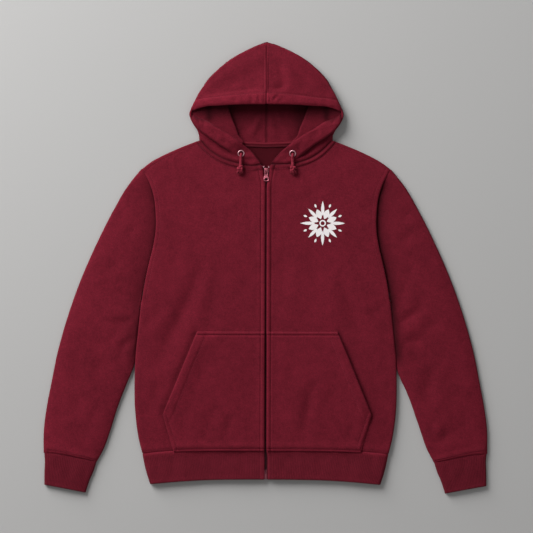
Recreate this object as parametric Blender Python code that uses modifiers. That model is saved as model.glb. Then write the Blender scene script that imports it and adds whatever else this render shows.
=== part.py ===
"""Zip-up hooded sweatshirt lying face up on a flat surface.

Frame: +X is the wearer's left, +Y points from hem to hood, +Z is up.  The
underside lies on z = 0 and x = 0 is the centre line.  Every panel is a sheet of
cloth of even thickness, built as an open surface with a Solidify modifier.
Tables are in millimetres, objects in metres.
"""
import bpy
import bmesh
from math import sin, cos, pi, radians, sqrt, exp, hypot
from mathutils import Vector, Matrix

# ------------------------------------------------------------ driving sizes (mm)
MM = 0.001
FLEECE = 2.5          # wall of the body cloth
HOOD_CLOTH = 2.2      # wall of the hood cloth
RIB = 2.5             # wall of the ribbed bands
SEAM = 0.3            # space left between sewn pieces
BACK_MID = FLEECE / 2          # height of the back panel's middle surface
FRONT_MID = 7.0                # height of the front panels' middle surface
SLEEVE_MID = 5.75              # height of the sleeves' upper layer
CUFF_MID = 5.9                 # height of the cuffs' upper layer
EDGE_R = (FRONT_MID - BACK_MID) / 2      # radius of the rolled side edge
EDGE_Z = (FRONT_MID + BACK_MID) / 2      # height of side and shoulder seams
POCKET_LIFT = 1.6              # how far the pocket mouth stands off

HOOD_FLOOR = HOOD_CLOTH / 2    # bottom layer of the hood
TUCK_LOW, TUCK_HIGH = 5.4, 8.4 # the two inner layers of the hood's side tuck

TAPE_T = 0.8                   # woven zip tape
CHAIN_W, CHAIN_LOW, CHAIN_TOP = 5.8, 3.2, 5.4
SLIDER_W, SLIDER_L, SLIDER_Y = 9.2, 11.4, 193.6
WING_LOW, WING_TOP, ARCH_TOP = 2.9, 7.1, 11.7
PULL_T, PULL_Z, PIVOT_Y = 1.4, 9.3, 195.0
PULL_TRAVEL = 175.0            # degrees, stated in the record

EYELET_OUT, EYELET_IN, EYELET_T = 14.0, 8.6, 1.7
EYELET_X, EYELET_Y = 51.6, 228.2
CORD_D = 6.0

# ------------------------------------------------------------ outline tables (mm)
# columns: x, y
SIDE_EDGE = [(245.8, -371.6), (251.5, -350), (257.6, -315), (261.2, -275),
             (261.8, -230), (260.6, -185), (254.8, -125), (248.8, -68)]
ARMHOLE = [(248.8, -68), (243, -32), (234.5, 8), (226, 43), (221.3, 75),
           (221.5, 110), (225, 140), (230, 158), (236, 173), (242.5, 186),
           (248.2, 196)]
SHOULDER = [(131, 255.5), (157, 245.6), (184, 234), (209, 222), (231, 209.5),
            (248.2, 196)]
FRONT_EDGE = [(1.7, -364.2), (1.7, -300), (1.7, -180), (1.7, -60), (1.7, 60),
              (1.7, 130), (1.7, 160), (2.3, 173), (5.3, 186), (6.3, 194),
              (6.9, 200), (10, 206.7)]
NECK_FRONT = [(10, 206.7), (28, 203.6), (52, 203.4), (73, 208.3), (95, 220),
              (116, 236), (131, 255.5)]
NECK_BACK = [(0, 241.5), (48, 243.6), (95, 248.8), (131, 255.5)]
SLEEVE_OUTER = [(248.2, 196), (276, 162), (304, 114), (339.8, 42.4), (370.8, -29.5),
                (395.8, -101), (415.8, -173), (427.8, -233), (436.8, -281),
                (442.3, -325), (442.8, -371)]
SLEEVE_INNER = [(252.4, -68), (258.8, -125), (264.8, -185), (271.0, -210),
                (280, -234), (297.4, -281), (312.4, -329), (324.2, -362),
                (338.2, -388.4)]
SLEEVE_END = [(442.8, -371), (414, -373), (376, -380), (338.2, -388.4)]
CUFF_START = [(441.0, -371.9), (414, -373.8), (376, -380.8), (339.2, -389.2)]
CUFF_OUTER = [(441.0, -371.9), (439.9, -388), (440.6, -409), (440.9, -435)]
CUFF_INNER = [(339.2, -389.2), (344.8, -407), (353.2, -427), (360.6, -450)]
CUFF_END = [(440.9, -435), (415, -439.5), (388, -444.5), (360.6, -450)]
HEM_EDGE = [(244.6, -372.4), (241, -392), (236, -412), (229.3, -434)]
HEM_END = [(3.3, -424), (60, -424.2), (120, -425.6), (175, -429), (229.3, -434)]

# panel rows, columns: place on the inner boundary, place on the outer boundary
# (inner: 0 hem, 1 foot of the neck, 2 shoulder; outer: 0 hem, 1 armpit, 2 shoulder)
FRONT_ROWS = [(0, 0), (.13, .22), (.25, .45), (.36, .68), (.46, .87), (.53, 1.0),
              (.538, 1.012), (.60, 1.12), (.69, 1.30), (.78, 1.50), (.87, 1.70), (.90, 1.78),
              (.93, 1.82), (.957, 1.86), (.978, 1.875), (1.0, 1.89), (1.25, 1.915),
              (1.50, 1.935), (1.75, 1.952), (1.90, 1.972)]
BACK_ROWS = [(0, 0), (.15, .22), (.30, .45), (.42, .68), (.51, .87), (.57, 1.0),
             (.577, 1.012), (.63, 1.12), (.73, 1.30), (.82, 1.50), (.91, 1.70), (.96, 1.78),
             (1.0, 1.86), (1.35, 1.915), (1.70, 1.95), (1.90, 1.972)]

# hood ribs, columns: mouth x, y, height | side x, y, height | reach of the side
# tuck x, y | y where the rib meets the centre seam underneath | pull of the neck curve
HOOD_RIBS = [
    (10.0, 206.7, 7.0, 131.0, 255.5, 7.0, 131, 255.5, 241.5, 1.0),
    (27.0, 229.0, 9.6, 134.0, 264.0, 9.4, 134, 264.0, 253.0, .40),
    (46.2, 245.4, 13.0, 137.5, 274.0, 12.4, 48, 248.5, 267.0, .10),
    (71.0, 263.0, 13.6, 144.0, 283.0, 12.4, 53, 265.0, 283.0, 0),
    (94.0, 277.4, 13.6, 149.0, 292.0, 12.4, 58, 280.0, 299.0, 0),
    (115.0, 294.0, 13.2, 152.2, 301.0, 12.4, 65, 297.0, 315.0, 0),
    (135.0, 303.5, 12.8, 153.2, 307.0, 12.4, 70, 311.0, 333.0, 0),
    (142.6, 308.2, 12.5, 152.4, 313.0, 12.4, 75, 325.0, 349.0, 0),
    (134.0, 314.6, 14.2, 149.4, 322.0, 12.4, 82, 341.0, 365.0, 0),
    (117.0, 320.2, 17.0, 143.4, 337.0, 12.4, 98, 353.0, 381.0, 0),
    (93.0, 323.4, 20.5, 131.0, 357.0, 12.2, 119, 362.0, 397.0, 0),
    (63.0, 325.2, 23.5, 111.0, 383.0, 12.0, 111, 383.0, 413.0, 0),
    (31.0, 325.8, 25.2, 75.0, 416.0, 12.0, 75, 416.0, 427.0, 0),
    (11.0, 326.0, 25.6, 30.0, 441.5, 12.0, 30, 441.5, 436.0, 0),
    (0.25, 326.0, 25.7, 0.25, 449.4, 12.0, 0.25, 449.4, 439.0, 0)]
HOOD_STEPS = [0, .5, 1, 1.5, 2, 3, 4, 5, 6, 7, 8, 9, 10, 11, 12, 13, 14]

# pocket rows, columns: y, outer x, stand-off of the outer edge (share of the lift)
POCKET_ROWS = [(-131, 142.0, 0), (-170, 158.0, .6), (-212, 175.2, 1), (-255, 192.8, 1),
               (-294.5, 209.0, .1), (-330, 198.0, 0), (-361.6, 187.6, 0)]
# pull tab outline, columns: distance from the pivot, half width
PULL_SHAPE = [(1.0, 2.0), (.7, 3.1), (0, 3.4), (-7.2, 3.3), (-10, 2.9), (-14.2, 3.0),
              (-16.2, 4.2), (-18.6, 4.8), (-20.6, 4.4), (-22, 3.0), (-22.4, 1.2)]


# ------------------------------------------------------------ helpers
def chord(points):
    """Running length along a polyline."""
    run = [0.0]
    for a, b in zip(points, points[1:]):
        run.append(run[-1] + sqrt(sum((p - q) ** 2 for p, q in zip(a, b))))
    return run


def smooth_at(points, t):
    """Point at share t of the length of a smooth curve through the points."""
    run = chord(points)
    want = min(max(t, 0.0), 1.0) * run[-1]
    i = 0
    while i < len(points) - 2 and run[i + 1] < want:
        i += 1
    f = (want - run[i]) / (run[i + 1] - run[i])
    a, b = points[i], points[i + 1]
    before = points[i - 1] if i else tuple(2 * p - q for p, q in zip(a, b))
    after = points[i + 2] if i + 2 < len(points) else tuple(2 * q - p for p, q in zip(a, b))
    span = run[i + 1] - run[i]
    left = run[i] - run[i - 1] if i else span
    right = run[i + 2] - run[i + 1] if i + 2 < len(points) else span
    out = []
    for k in range(len(a)):
        ta = ((b[k] - a[k]) / span * left + (a[k] - before[k]) / left * span) / (left + span) * span
        tb = ((after[k] - b[k]) / right * span + (b[k] - a[k]) / span * right) / (right + span) * span
        out.append(a[k] * (2 * f ** 3 - 3 * f ** 2 + 1) + ta * (f ** 3 - 2 * f ** 2 + f)
                   + b[k] * (3 * f ** 2 - 2 * f ** 3) + tb * (f ** 3 - f ** 2))
    return tuple(out)


def row_at(table, t):
    """Row of a table at a fractional row number, each column by straight lines."""
    i = min(int(t), len(table) - 2)
    f = t - i
    return [a + (b - a) * f for a, b in zip(table[i], table[i + 1])]


def ease(x):
    x = min(max(x, 0.0), 1.0)
    return x * x * (3 - 2 * x)


def coons(bottom, top, left, right, s, t):
    """Patch between four boundary curves, each a function of 0..1."""
    b, u, l, r = bottom(s), top(s), left(t), right(t)
    c00, c10, c01, c11 = bottom(0), bottom(1), top(0), top(1)
    return tuple((1 - t) * b[k] + t * u[k] + (1 - s) * l[k] + s * r[k]
                 - ((1 - s) * (1 - t) * c00[k] + s * (1 - t) * c10[k]
                    + (1 - s) * t * c01[k] + s * t * c11[k]) for k in (0, 1))


def away(x, y, points):
    """Distance in plan from a point to a polyline."""
    best = 1e9
    for (ax, ay), (bx, by) in zip(points, points[1:]):
        dx, dy = bx - ax, by - ay
        f = min(max(((x - ax) * dx + (y - ay) * dy) / (dx * dx + dy * dy), 0), 1)
        best = min(best, hypot(x - ax - f * dx, y - ay - f * dy))
    return best


def fine(points, n=200):
    return [smooth_at(points, i / n) for i in range(n + 1)]


# stations over a rolled edge, as distances in from it
ROLL_STATIONS = [EDGE_R, EDGE_R * (1 - cos(radians(45))), .02, 0]
for rows, neck in ((FRONT_ROWS, NECK_FRONT), (BACK_ROWS, NECK_BACK)):
    for d in ROLL_STATIONS:
        rows.append((2 - d / chord(neck)[-1], 2 - d / chord(ARMHOLE)[-1]))
SIDE_LINE = fine(SIDE_EDGE)
SHOULDER_LINE = fine(SHOULDER)
ARM_LINE = fine(ARMHOLE)


# ------------------------------------------------------------ scene and materials
for old in list(bpy.data.objects):
    bpy.data.objects.remove(old, do_unlink=True)
hoodie = bpy.data.collections.new("zip_up_hoodie")
cutters = bpy.data.collections.new("cutters")
bpy.context.scene.collection.children.link(hoodie)
bpy.context.scene.collection.children.link(cutters)


def finish(name, colour, rough, metal=0.0):
    mat = bpy.data.materials.new(name)
    mat.use_nodes = True
    p = mat.node_tree.nodes["Principled BSDF"]
    p.inputs["Base Color"].default_value = (*colour, 1)
    p.inputs["Roughness"].default_value = rough
    p.inputs["Metallic"].default_value = metal
    mat.diffuse_color = (*colour, 1)
    return mat


FINISH = {
    "fleece": finish("burgundy_fleece", (.150, .011, .024), .92),
    "rib": finish("burgundy_rib", (.135, .010, .021), .93),
    "tape": finish("burgundy_tape", (.075, .006, .013), .85),
    "chain": finish("zip_chain_metal", (.12, .035, .045), .45, .8),
    "metal": finish("tinted_metal", (.50, .22, .26), .32, 1.0),
    "cord": finish("burgundy_cord", (.190, .014, .032), .85)}


def add(name, mesh, mat):
    ob = bpy.data.objects.new(name, mesh)
    mesh.materials.append(FINISH[mat])
    hoodie.objects.link(ob)
    return ob


def surface(name, us, vs, place, mat, wall, wrap=False, mirror=False):
    """Open (or ring-shaped) surface placed by place(u, v), then given a wall."""
    nu, nv = len(us) - 1, len(vs) - 1
    bm = bmesh.new()
    bmesh.ops.create_grid(bm, x_segments=nu, y_segments=nv, size=0.5)
    for vert in bm.verts:
        i, j = round((vert.co.x + .5) * nu), round((vert.co.y + .5) * nv)
        vert.co = Vector(place(us[i], vs[j])) * MM
    if wrap:
        bmesh.ops.remove_doubles(bm, verts=bm.verts, dist=1e-6)
    bm.normal_update()
    mesh = bpy.data.meshes.new(name)
    bm.to_mesh(mesh)
    bm.free()
    mesh.shade_smooth()
    ob = add(name, mesh, mat)
    if mirror:
        m = ob.modifiers.new("mirror", 'MIRROR')
        m.merge_threshold = 0.00001
    s = ob.modifiers.new("wall", 'SOLIDIFY')
    s.thickness = wall * MM
    s.offset = 0
    s.use_even_offset = False
    return ob


def flipped(place, side):
    return lambda u, v: (lambda p: (side * p[0], p[1], p[2]))(place(u, v))


# ------------------------------------------------------------ front and back
def hem_seam(x):
    return -364.2 - 7.4 * (abs(x) / 245.8) ** 4


def inner_front(p):
    return smooth_at(FRONT_EDGE, p) if p <= 1 else smooth_at(NECK_FRONT, p - 1)


def inner_back(p):
    if p <= 1:
        return (0.0, -364.2 + (241.5 + 364.2) * p)
    return smooth_at(NECK_BACK, p - 1)


def outer(q):
    return smooth_at(SIDE_EDGE, q) if q <= 1 else smooth_at(ARMHOLE, q - 1)


def panel_xy(rows, inner, s, j):
    """Plan position at share s across and row j of a half panel."""
    t = j / (len(rows) - 1)
    p, q = row_at(rows, j)
    x0 = inner(0)[0]
    bottom = lambda a: (x0 + (245.8 - x0) * a, hem_seam(x0 + (245.8 - x0) * a))
    top = lambda a: smooth_at(SHOULDER, a)
    l, r = inner(p), outer(q)
    b, u = bottom(s), top(s)
    c00, c10, c01, c11 = bottom(0), bottom(1), top(0), top(1)
    return tuple((1 - t) * b[k] + t * u[k] + (1 - s) * l[k] + s * r[k]
                 - ((1 - s) * (1 - t) * c00[k] + s * (1 - t) * c10[k]
                    + (1 - s) * t * c01[k] + s * t * c11[k]) for k in (0, 1))


def roll(d):
    """Rise of a quarter round of EDGE_R at distance d from its outer edge."""
    if d < .02:      # the last strip stands upright, so that the seam edges face each other
        return .25 + 29 * d
    d = min(d + .1, EDGE_R)
    return sqrt(EDGE_R ** 2 - (EDGE_R - d) ** 2)


def front_z(x, y):
    """Middle surface of the front panel: rolled edges, low armhole, soft troughs."""
    x = abs(x)
    d = min(away(x, y, SIDE_LINE), away(x, y, SHOULDER_LINE))
    z = EDGE_Z + roll(d)
    if y > -75:
        z -= (FRONT_MID - SLEEVE_MID) * exp(-(away(x, y, ARM_LINE) / 9) ** 2) * ease(d / 6)
    # the long slanting trough beside the pocket
    along = min(max((5 - y) / 200, 0), 1)
    z -= .9 * exp(-((x - (132 + 92 * along)) / 13) ** 2) * sin(pi * along)
    return z


def back_z(x, y):
    d = min(away(abs(x), y, SIDE_LINE), away(abs(x), y, SHOULDER_LINE))
    return EDGE_Z - roll(d)


ACROSS = [0, .3, .5, .64, .78, .90, .965] + [1 - d / 252 for d in ROLL_STATIONS]


def front_point(s, j):
    x, y = panel_xy(FRONT_ROWS, inner_front, s, j)
    return (x, y, front_z(x, y))


def back_point(s, j):
    x, y = panel_xy(BACK_ROWS, inner_back, s, j)
    if s == 0 and j <= 12:
        x = 0.0
    return (x, y, back_z(x, y))


for word, side in (("left", 1), ("right", -1)):
    surface("front_" + word, ACROSS, list(range(len(FRONT_ROWS))),
            flipped(front_point, side), "fleece", FLEECE)
ACROSS_BACK = [0, .5, .78, .9] + ACROSS[-4:]
surface("back", ACROSS_BACK, list(range(len(BACK_ROWS))), back_point, "fleece",
        FLEECE, mirror=True)


# ------------------------------------------------------------ flat-lying tubes
def tube_loop(low, high, flats):
    """Stations round a flattened tube: (edge, distance from it, height)."""
    r, zc = (high - low) / 2, (high + low) / 2
    loop = []
    for a in (-90, -45, 0, 45, 90):
        loop.append((0, r - r * cos(radians(a)), zc + r * sin(radians(a))))
    loop += [(f, 0, high) for f in flats]
    for a in (90, 45, 0, -45, -90):
        loop.append((1, r - r * cos(radians(a)), zc + r * sin(radians(a))))
    loop += [(f, 0, low) for f in reversed(flats)]
    return loop + [loop[0]]


def tube_point(start, end, edge0, edge1, loop, shape=None, clear=None):
    def place(k, t):
        mark, d, z = loop[int(k)]
        a, b = edge0(t), edge1(t)
        width = hypot(a[0] - b[0], a[1] - b[1])
        if mark in (0, 1):
            s = d / width if mark == 0 else 1 - d / width
        else:
            s = mark
        x, y = coons(start, end, edge0, edge1, s, t)
        if clear:
            x = clear(s, t, x, y)
        if shape:
            z = shape(s, t, z)
        return (x, y, z)
    return place


def sleeve_start(s):
    x, y = smooth_at(ARMHOLE, 1 - s)
    gap = .5 + 3.1 * ease((s - .93) / .06) + .15 * ease((.03 - s) / .03)
    return (x + gap, y - .12)


BODY_LINE = SIDE_LINE + ARM_LINE


def body_x(y):
    """Where the body's outline lies at height y of the plan."""
    for (ax, ay), (bx, by) in zip(BODY_LINE, BODY_LINE[1:]):
        if ay <= y <= by and by > ay:
            return ax + (bx - ax) * (y - ay) / (by - ay)
    return -1e3


def sleeve_clear(s, t, x, y):
    """Under the arm the sleeve lies beside the body, never across it."""
    if t == 0 or y > 185:
        return x
    room = .8 + 2.9 * ease((-25 - y) / 40) + 40 * (1 - s) * min(t / .1, 1)
    return max(x, body_x(y) + room)


def sleeve_shape(s, t, z):
    """Soft elbow troughs pressed into the upper layer."""
    if z < SLEEVE_MID - .01:
        return z
    wide = sin(pi * min(max(s, 0), 1))
    for at, lean, deep in ((.40, .10, .8), (.52, -.06, .9), (.78, .08, .6)):
        z -= deep * wide * exp(-((t - at - lean * s) / .035) ** 2) * s
    return z


SLEEVE_FLATS = [.05, .14, .22, .30, .50, .70, .88]
SLEEVE_T = [0, .03, .10, .20, .32, .42, .50, .60, .70, .79, .90, 1]
loop = tube_loop(BACK_MID, SLEEVE_MID, SLEEVE_FLATS)
sleeve_point = tube_point(sleeve_start, lambda s: smooth_at(SLEEVE_END, s),
                          lambda t: smooth_at([sleeve_start(0)] + SLEEVE_OUTER[1:], t),
                          lambda t: smooth_at([sleeve_start(1)] + SLEEVE_INNER[1:], t),
                          loop, sleeve_shape, sleeve_clear)
cuff_loop = tube_loop(RIB / 2, CUFF_MID, [.25, .5, .75])
cuff_point = tube_point(lambda s: smooth_at(CUFF_START, s), lambda s: smooth_at(CUFF_END, s),
                        lambda t: smooth_at(CUFF_OUTER, t), lambda t: smooth_at(CUFF_INNER, t),
                        cuff_loop)
for word, side in (("left", 1), ("right", -1)):
    surface("sleeve_" + word, list(range(len(loop))), SLEEVE_T,
            flipped(sleeve_point, side), "fleece", FLEECE, wrap=True)
    surface("cuff_" + word, list(range(len(cuff_loop))), [0, .33, .66, 1],
            flipped(cuff_point, side), "rib", RIB, wrap=True)


# ------------------------------------------------------------ hem band
def hem_loop():
    """Half the band, from the zip over the front, round the side, to centre back."""
    out = [(f, 0, FRONT_MID) for f in ACROSS[:7]]
    for a in (90, 60, 30, 0, -30, -60, -90):
        out.append((1, EDGE_R - EDGE_R * cos(radians(a)), EDGE_Z + EDGE_R * sin(radians(a))))
    return out + [(f, 0, BACK_MID) for f in (.9, .78, .5, -1)]


HEM = hem_loop()


def hem_point(k, t):
    mark, d, z = HEM[int(k)]
    bottom = lambda s: (3.3 + (244.6 - 3.3) * s, hem_seam(3.3 + 242.5 * s) - SEAM - .1)
    top = lambda s: smooth_at(HEM_END, s)
    edge1 = lambda v: smooth_at([bottom(1)] + HEM_EDGE[1:], v)
    edge0 = lambda v: (3.3, bottom(0)[1] + (top(0)[1] - bottom(0)[1]) * v)
    if mark == -1:
        return (0.0, edge0(t)[1], z)
    s = 1 - d / 240 if mark == 1 and d or mark == 1 else mark
    x, y = coons(bottom, top, edge0, edge1, s, t)
    return (x, y, z)


surface("hem_band", list(range(len(HEM))), [0, .25, .5, .75, 1], hem_point, "rib", RIB,
        mirror=True)


# ------------------------------------------------------------ pockets
def pocket_point(s, j):
    y, xo, lift = POCKET_ROWS[int(j)]
    x = 3.2 + (xo - 3.2) * s
    return (x, y, front_z(x, y) + FLEECE + SEAM + POCKET_LIFT * lift * s ** 6)


for word, side in (("left", 1), ("right", -1)):
    surface("pocket_" + word, [0, .2, .4, .6, .75, .88, 1], list(range(len(POCKET_ROWS))),
            flipped(pocket_point, side), "fleece", FLEECE)


# ------------------------------------------------------------ hood
MOUTH = [r[0:2] for r in HOOD_RIBS]
SIDE = [r[3:5] for r in HOOD_RIBS]


def column_smooth(points, t):
    """Smooth curve through the points, by row number."""
    i = min(int(t), len(points) - 2)
    f = t - i
    p0 = points[i - 1] if i else points[0]
    p1, p2 = points[i], points[i + 1]
    p3 = points[i + 2] if i + 2 < len(points) else p2
    return tuple(.5 * (2 * b + (c - a) * f + (2 * a - 5 * b + 4 * c - d) * f * f
                       + (3 * b - a - 3 * c + d) * f ** 3)
                 for a, b, c, d in zip(p0, p1, p2, p3))


def neck_pull(t):
    """How far the front neck seam bows from a straight line, at share t."""
    x, y = smooth_at(NECK_FRONT, t)
    a, b = NECK_FRONT[0], NECK_FRONT[-1]
    return (x - a[0] - (b[0] - a[0]) * t, y - a[1] - (b[1] - a[1]) * t)


def back_pull(t):
    x, y = smooth_at(NECK_BACK, 1 - t)
    a, b = NECK_BACK[-1], NECK_BACK[0]
    return (x - a[0] - (b[0] - a[0]) * t, y - a[1] - (b[1] - a[1]) * t)


# stations down a hood rib: (stretch, place in it)
HOOD_TOP = [0, .25, .5, .75]
HOOD_TURN = [90, 45, 0, -45, -90]
HOOD_FOLD = [90, 0, -90]
STATIONS = ([("top", f) for f in HOOD_TOP]
            + [("outer1", a) for a in HOOD_TURN] + [("in1", .5)]
            + [("fold", a) for a in HOOD_FOLD] + [("in2", .5)]
            + [("outer2", a) for a in HOOD_TURN]
            + [("floor", f) for f in (.3, .65, 1)])
TURN_FIRST, TURN_LAST = 4, 18


def hood_point(u, k):
    k = int(k)
    stretch, f = STATIONS[k]
    mx, my = column_smooth(MOUTH, u)
    sx, sy = column_smooth(SIDE, u)
    _, _, mz, _, _, sz, tx, ty, cy, pull = row_at(HOOD_RIBS, u)
    if u >= 14:
        mx = sx = tx = .3
    # the sewn edge at the neck keeps its distance from the body, more at the corner
    near = ease(1 - u)
    my += SEAM * near
    sx, sy = sx - 1.6 * near, sy + 1.5 * near
    floor_end = Vector((.3, cy + SEAM * near))
    mouth, side = Vector((mx, my)), Vector((sx, sy))
    tuck = Vector((tx, ty))
    reach = (tuck - side).length if u > 1 else 0.0
    inward = (tuck - side).normalized() if reach > 6 else (floor_end - side).normalized()
    fold = ease(reach / 22)
    reach = max(reach, 9)
    half = (sz - HOOD_FLOOR) / 2
    zmid = (sz + HOOD_FLOOR) / 2
    low = HOOD_FLOOR + (TUCK_LOW - HOOD_FLOOR) * (sz - HOOD_FLOOR) / (12.4 - HOOD_FLOOR)
    high = HOOD_FLOOR + (TUCK_HIGH - HOOD_FLOOR) * (sz - HOOD_FLOOR) / (12.4 - HOOD_FLOOR)
    r1, r2, r3 = (sz - high) / 2, (high - low) / 2, (low - HOOD_FLOOR) / 2
    if stretch == "top":
        start = side + (mouth - side).normalized() * (r1 * fold + half * (1 - fold))
        p = mouth + (start - mouth) * f
        q = neck_pull(f)
        p += Vector(q) * pull
        return (p.x, p.y, sz + (mz - sz) * (1 - f ** 1.7))
    if stretch == "floor":
        start = side + (floor_end - side).normalized() * (r3 * fold + half * (1 - fold))
        p = start + (floor_end - start) * f
        p += Vector(back_pull(f)) * near
        return (p.x, p.y, HOOD_FLOOR)
    # the turned side: a plain half round, or two turns with a tuck between them
    a = pi / 2 - pi * (k - TURN_FIRST) / (TURN_LAST - TURN_FIRST)
    plain = Vector((half - half * cos(a), zmid + half * sin(a)))
    if stretch == "outer1":
        tucked = Vector((r1 - r1 * cos(radians(f)), (sz + high) / 2 + r1 * sin(radians(f))))
    elif stretch == "outer2":
        tucked = Vector((r3 - r3 * cos(radians(f)), (low + HOOD_FLOOR) / 2 + r3 * sin(radians(f))))
    elif stretch == "fold":
        tucked = Vector((reach - r2 + r2 * cos(radians(f)), (high + low) / 2 + r2 * sin(radians(f))))
    else:
        tucked = Vector((reach * .5, high if stretch == "in1" else low))
    d, z = plain.lerp(tucked, fold)
    way = inward
    if stretch == "outer1":
        way = inward.lerp((mouth - side).normalized(), max(f, 0) / 90)
    if stretch == "outer2":
        way = inward.lerp((floor_end - side).normalized(), max(-f, 0) / 90)
    p = side + way * d
    return (p.x, p.y, z)


for word, side in (("left", 1), ("right", -1)):
    surface("hood_" + word, HOOD_STEPS, list(range(len(STATIONS))),
            flipped(hood_point, side), "fleece", HOOD_CLOTH)


def hood_top(x, y):
    """Point and upward normal of the hood's upper surface nearest to (x, y)."""
    best = None
    for i in range(0, 61):
        for j in range(0, 41):
            u, f = i / 10, j / 40 * 3
            a, b = hood_point(u, int(f)), hood_point(u, min(int(f) + 1, 3))
            p = Vector(a).lerp(Vector(b), f - int(f))
            d = hypot(p.x - x, p.y - y)
            if best is None or d < best[0]:
                best = (d, p, u, f)
    _, p, u, f = best
    k = min(int(f), 2)
    along = Vector(hood_point(u + .2, k)) - Vector(hood_point(u, k))
    across = Vector(hood_point(u, k + 1)) - Vector(hood_point(u, k))
    n = along.cross(across).normalized()
    if n.z < 0:
        n = -n
    return p, n


# ------------------------------------------------------------ neck tape
def tape_point(s, t):
    x = 68 * s
    lo = smooth_at(NECK_BACK, abs(x) / 131)
    return (x, lo[1] + 8.2 - 9.2 * t, FLEECE + SEAM + .55)


surface("neck_tape", [-1, -.75, -.5, -.25, 0, .25, .5, .75, 1], [0, .5, 1], tape_point, "tape", 1.0)


# ------------------------------------------------------------ zip
def block(name, x, y, z, mat=None, bevel=0.0):
    """Box between the given limits, in millimetres."""
    bm = bmesh.new()
    bmesh.ops.create_cube(bm, size=1.0)
    size = Vector((x[1] - x[0], y[1] - y[0], z[1] - z[0])) * MM
    mid = Vector((x[0] + x[1], y[0] + y[1], z[0] + z[1])) * MM / 2
    bmesh.ops.scale(bm, vec=size, verts=bm.verts)
    bmesh.ops.translate(bm, vec=mid, verts=bm.verts)
    mesh = bpy.data.meshes.new(name)
    bm.to_mesh(mesh)
    bm.free()
    if mat:
        ob = add(name, mesh, mat)
    else:
        ob = bpy.data.objects.new(name, mesh)
        cutters.objects.link(ob)
        ob.hide_render = True
        ob.display_type = 'WIRE'
    if bevel:
        b = ob.modifiers.new("edge", 'BEVEL')
        b.width = bevel * MM
        b.segments = 2
        b.limit_method = 'ANGLE'
    return ob


for word, side in (("left", 1), ("right", -1)):
    xs = sorted((side * (CHAIN_W / 2 + SEAM), side * 14))
    block("zip_tape_" + word, xs, (-423, 204.5), (4.4, 4.4 + TAPE_T), "tape")
    xs = sorted((side * 3.8, side * 6.2))
    block("zip_stop_" + word, xs, (200.6, 204.4), (5.5, 7.6), "metal", .4)
block("zip_chain", (-CHAIN_W / 2, CHAIN_W / 2), (-411.7, SLIDER_Y - SLIDER_L / 2 - SEAM),
      (CHAIN_LOW, CHAIN_TOP), "chain")
block("zip_box", (-2.9, 2.9), (-422.6, -412), (CHAIN_LOW, 7.6), "metal", .5)

# the slider: two wings, an end wall between them and an arch that holds the pull
y0, y1 = SLIDER_Y - SLIDER_L / 2, SLIDER_Y + SLIDER_L / 2
slider = block("zip_slider", (-SLIDER_W / 2, SLIDER_W / 2), (y0, y1), (WING_LOW, ARCH_TOP), "metal")
cuts = [block("cut_channel", (-9, 9), (y0 - 2, y1 - 2.2), (WING_LOW + .9, WING_TOP - 1.1)),
        block("cut_side_a", (1.2, 9), (y0 - 2, y1 + 2), (WING_TOP, ARCH_TOP + 2)),
        block("cut_side_b", (-9, -1.2), (y0 - 2, y1 + 2), (WING_TOP, ARCH_TOP + 2)),
        block("cut_wall_a", (2.9, 9), (y0 - 2, y1 + 2), (WING_LOW + .9, WING_TOP - 1.1)),
        block("cut_wall_b", (-9, -2.9), (y0 - 2, y1 + 2), (WING_LOW + .9, WING_TOP - 1.1)),
        block("cut_arch", (-9, 9), (PIVOT_Y - 3.8, PIVOT_Y + 3.0), (WING_TOP, ARCH_TOP - 1.0)),
        block("cut_front", (-9, 9), (y0 - 2, PIVOT_Y - 5.0), (WING_TOP, ARCH_TOP + 2)),
        block("cut_rear", (-9, 9), (PIVOT_Y + 4.0, y1 + 2), (WING_TOP, ARCH_TOP + 2))]
for c in cuts:
    m = slider.modifiers.new(c.name, 'BOOLEAN')
    m.operation = 'DIFFERENCE'
    m.object = c


# the pull tab: a flat outline with two holes, turning about the bar at its top
def ring(curve, points):
    sp = curve.splines.new('POLY')
    sp.points.add(len(points) - 1)
    for pt, (x, y) in zip(sp.points, points):
        pt.co = (x * MM, y * MM, 0, 1)
    sp.use_cyclic_u = True


cu = bpy.data.curves.new("zip_pull", 'CURVE')
cu.dimensions = '2D'
cu.fill_mode = 'BOTH'
cu.extrude = PULL_T / 2 * MM
ring(cu, [(w, y) for y, w in PULL_SHAPE] + [(-w, y) for y, w in reversed(PULL_SHAPE)])
ring(cu, [(-2.1, -.8), (2.1, -.8), (2.1, -6.2), (1.4, -6.9), (-1.4, -6.9), (-2.1, -6.2)])
ring(cu, [(2.5 * cos(2 * pi * i / 14), -18.4 + 1.9 * sin(2 * pi * i / 14)) for i in range(14)])
pull = bpy.data.objects.new("zip_pull", cu)
cu.materials.append(FINISH["metal"])
hoodie.objects.link(pull)
pull.location = (0, PIVOT_Y * MM, PULL_Z * MM)

# ------------------------------------------------------------ eyelets, cords and knots
# columns: y, sideways drift, height above the front panel's top (0 = the cloth)
CORD_RUN = [(1.5, 0, None), (-4, .1, None), (-10.5, .3, None), (-16.5, .6, 5.3),
            (-21, .9, 3.7), (-24.6, 1.2, 3.6)]


def cord_route(side):
    """Middle line of the cord: out of the eyelet, over its rim, down to the front."""
    p, n = hood_top(EYELET_X, EYELET_Y)
    rim = p.z + HOOD_CLOTH / 2 + SEAM + EYELET_T + SEAM + CORD_D / 2
    run = []
    for k, (dy, dx, up) in enumerate(CORD_RUN):
        y = EYELET_Y + dy
        x = EYELET_X + dx * (-1 if side < 0 else .4)
        if up is None:
            z = rim + (.6, .5, -.9)[k]
        else:
            z = front_z(x, y) + FLEECE / 2 + up
        run.append((x, y, z))
    return run


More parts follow.
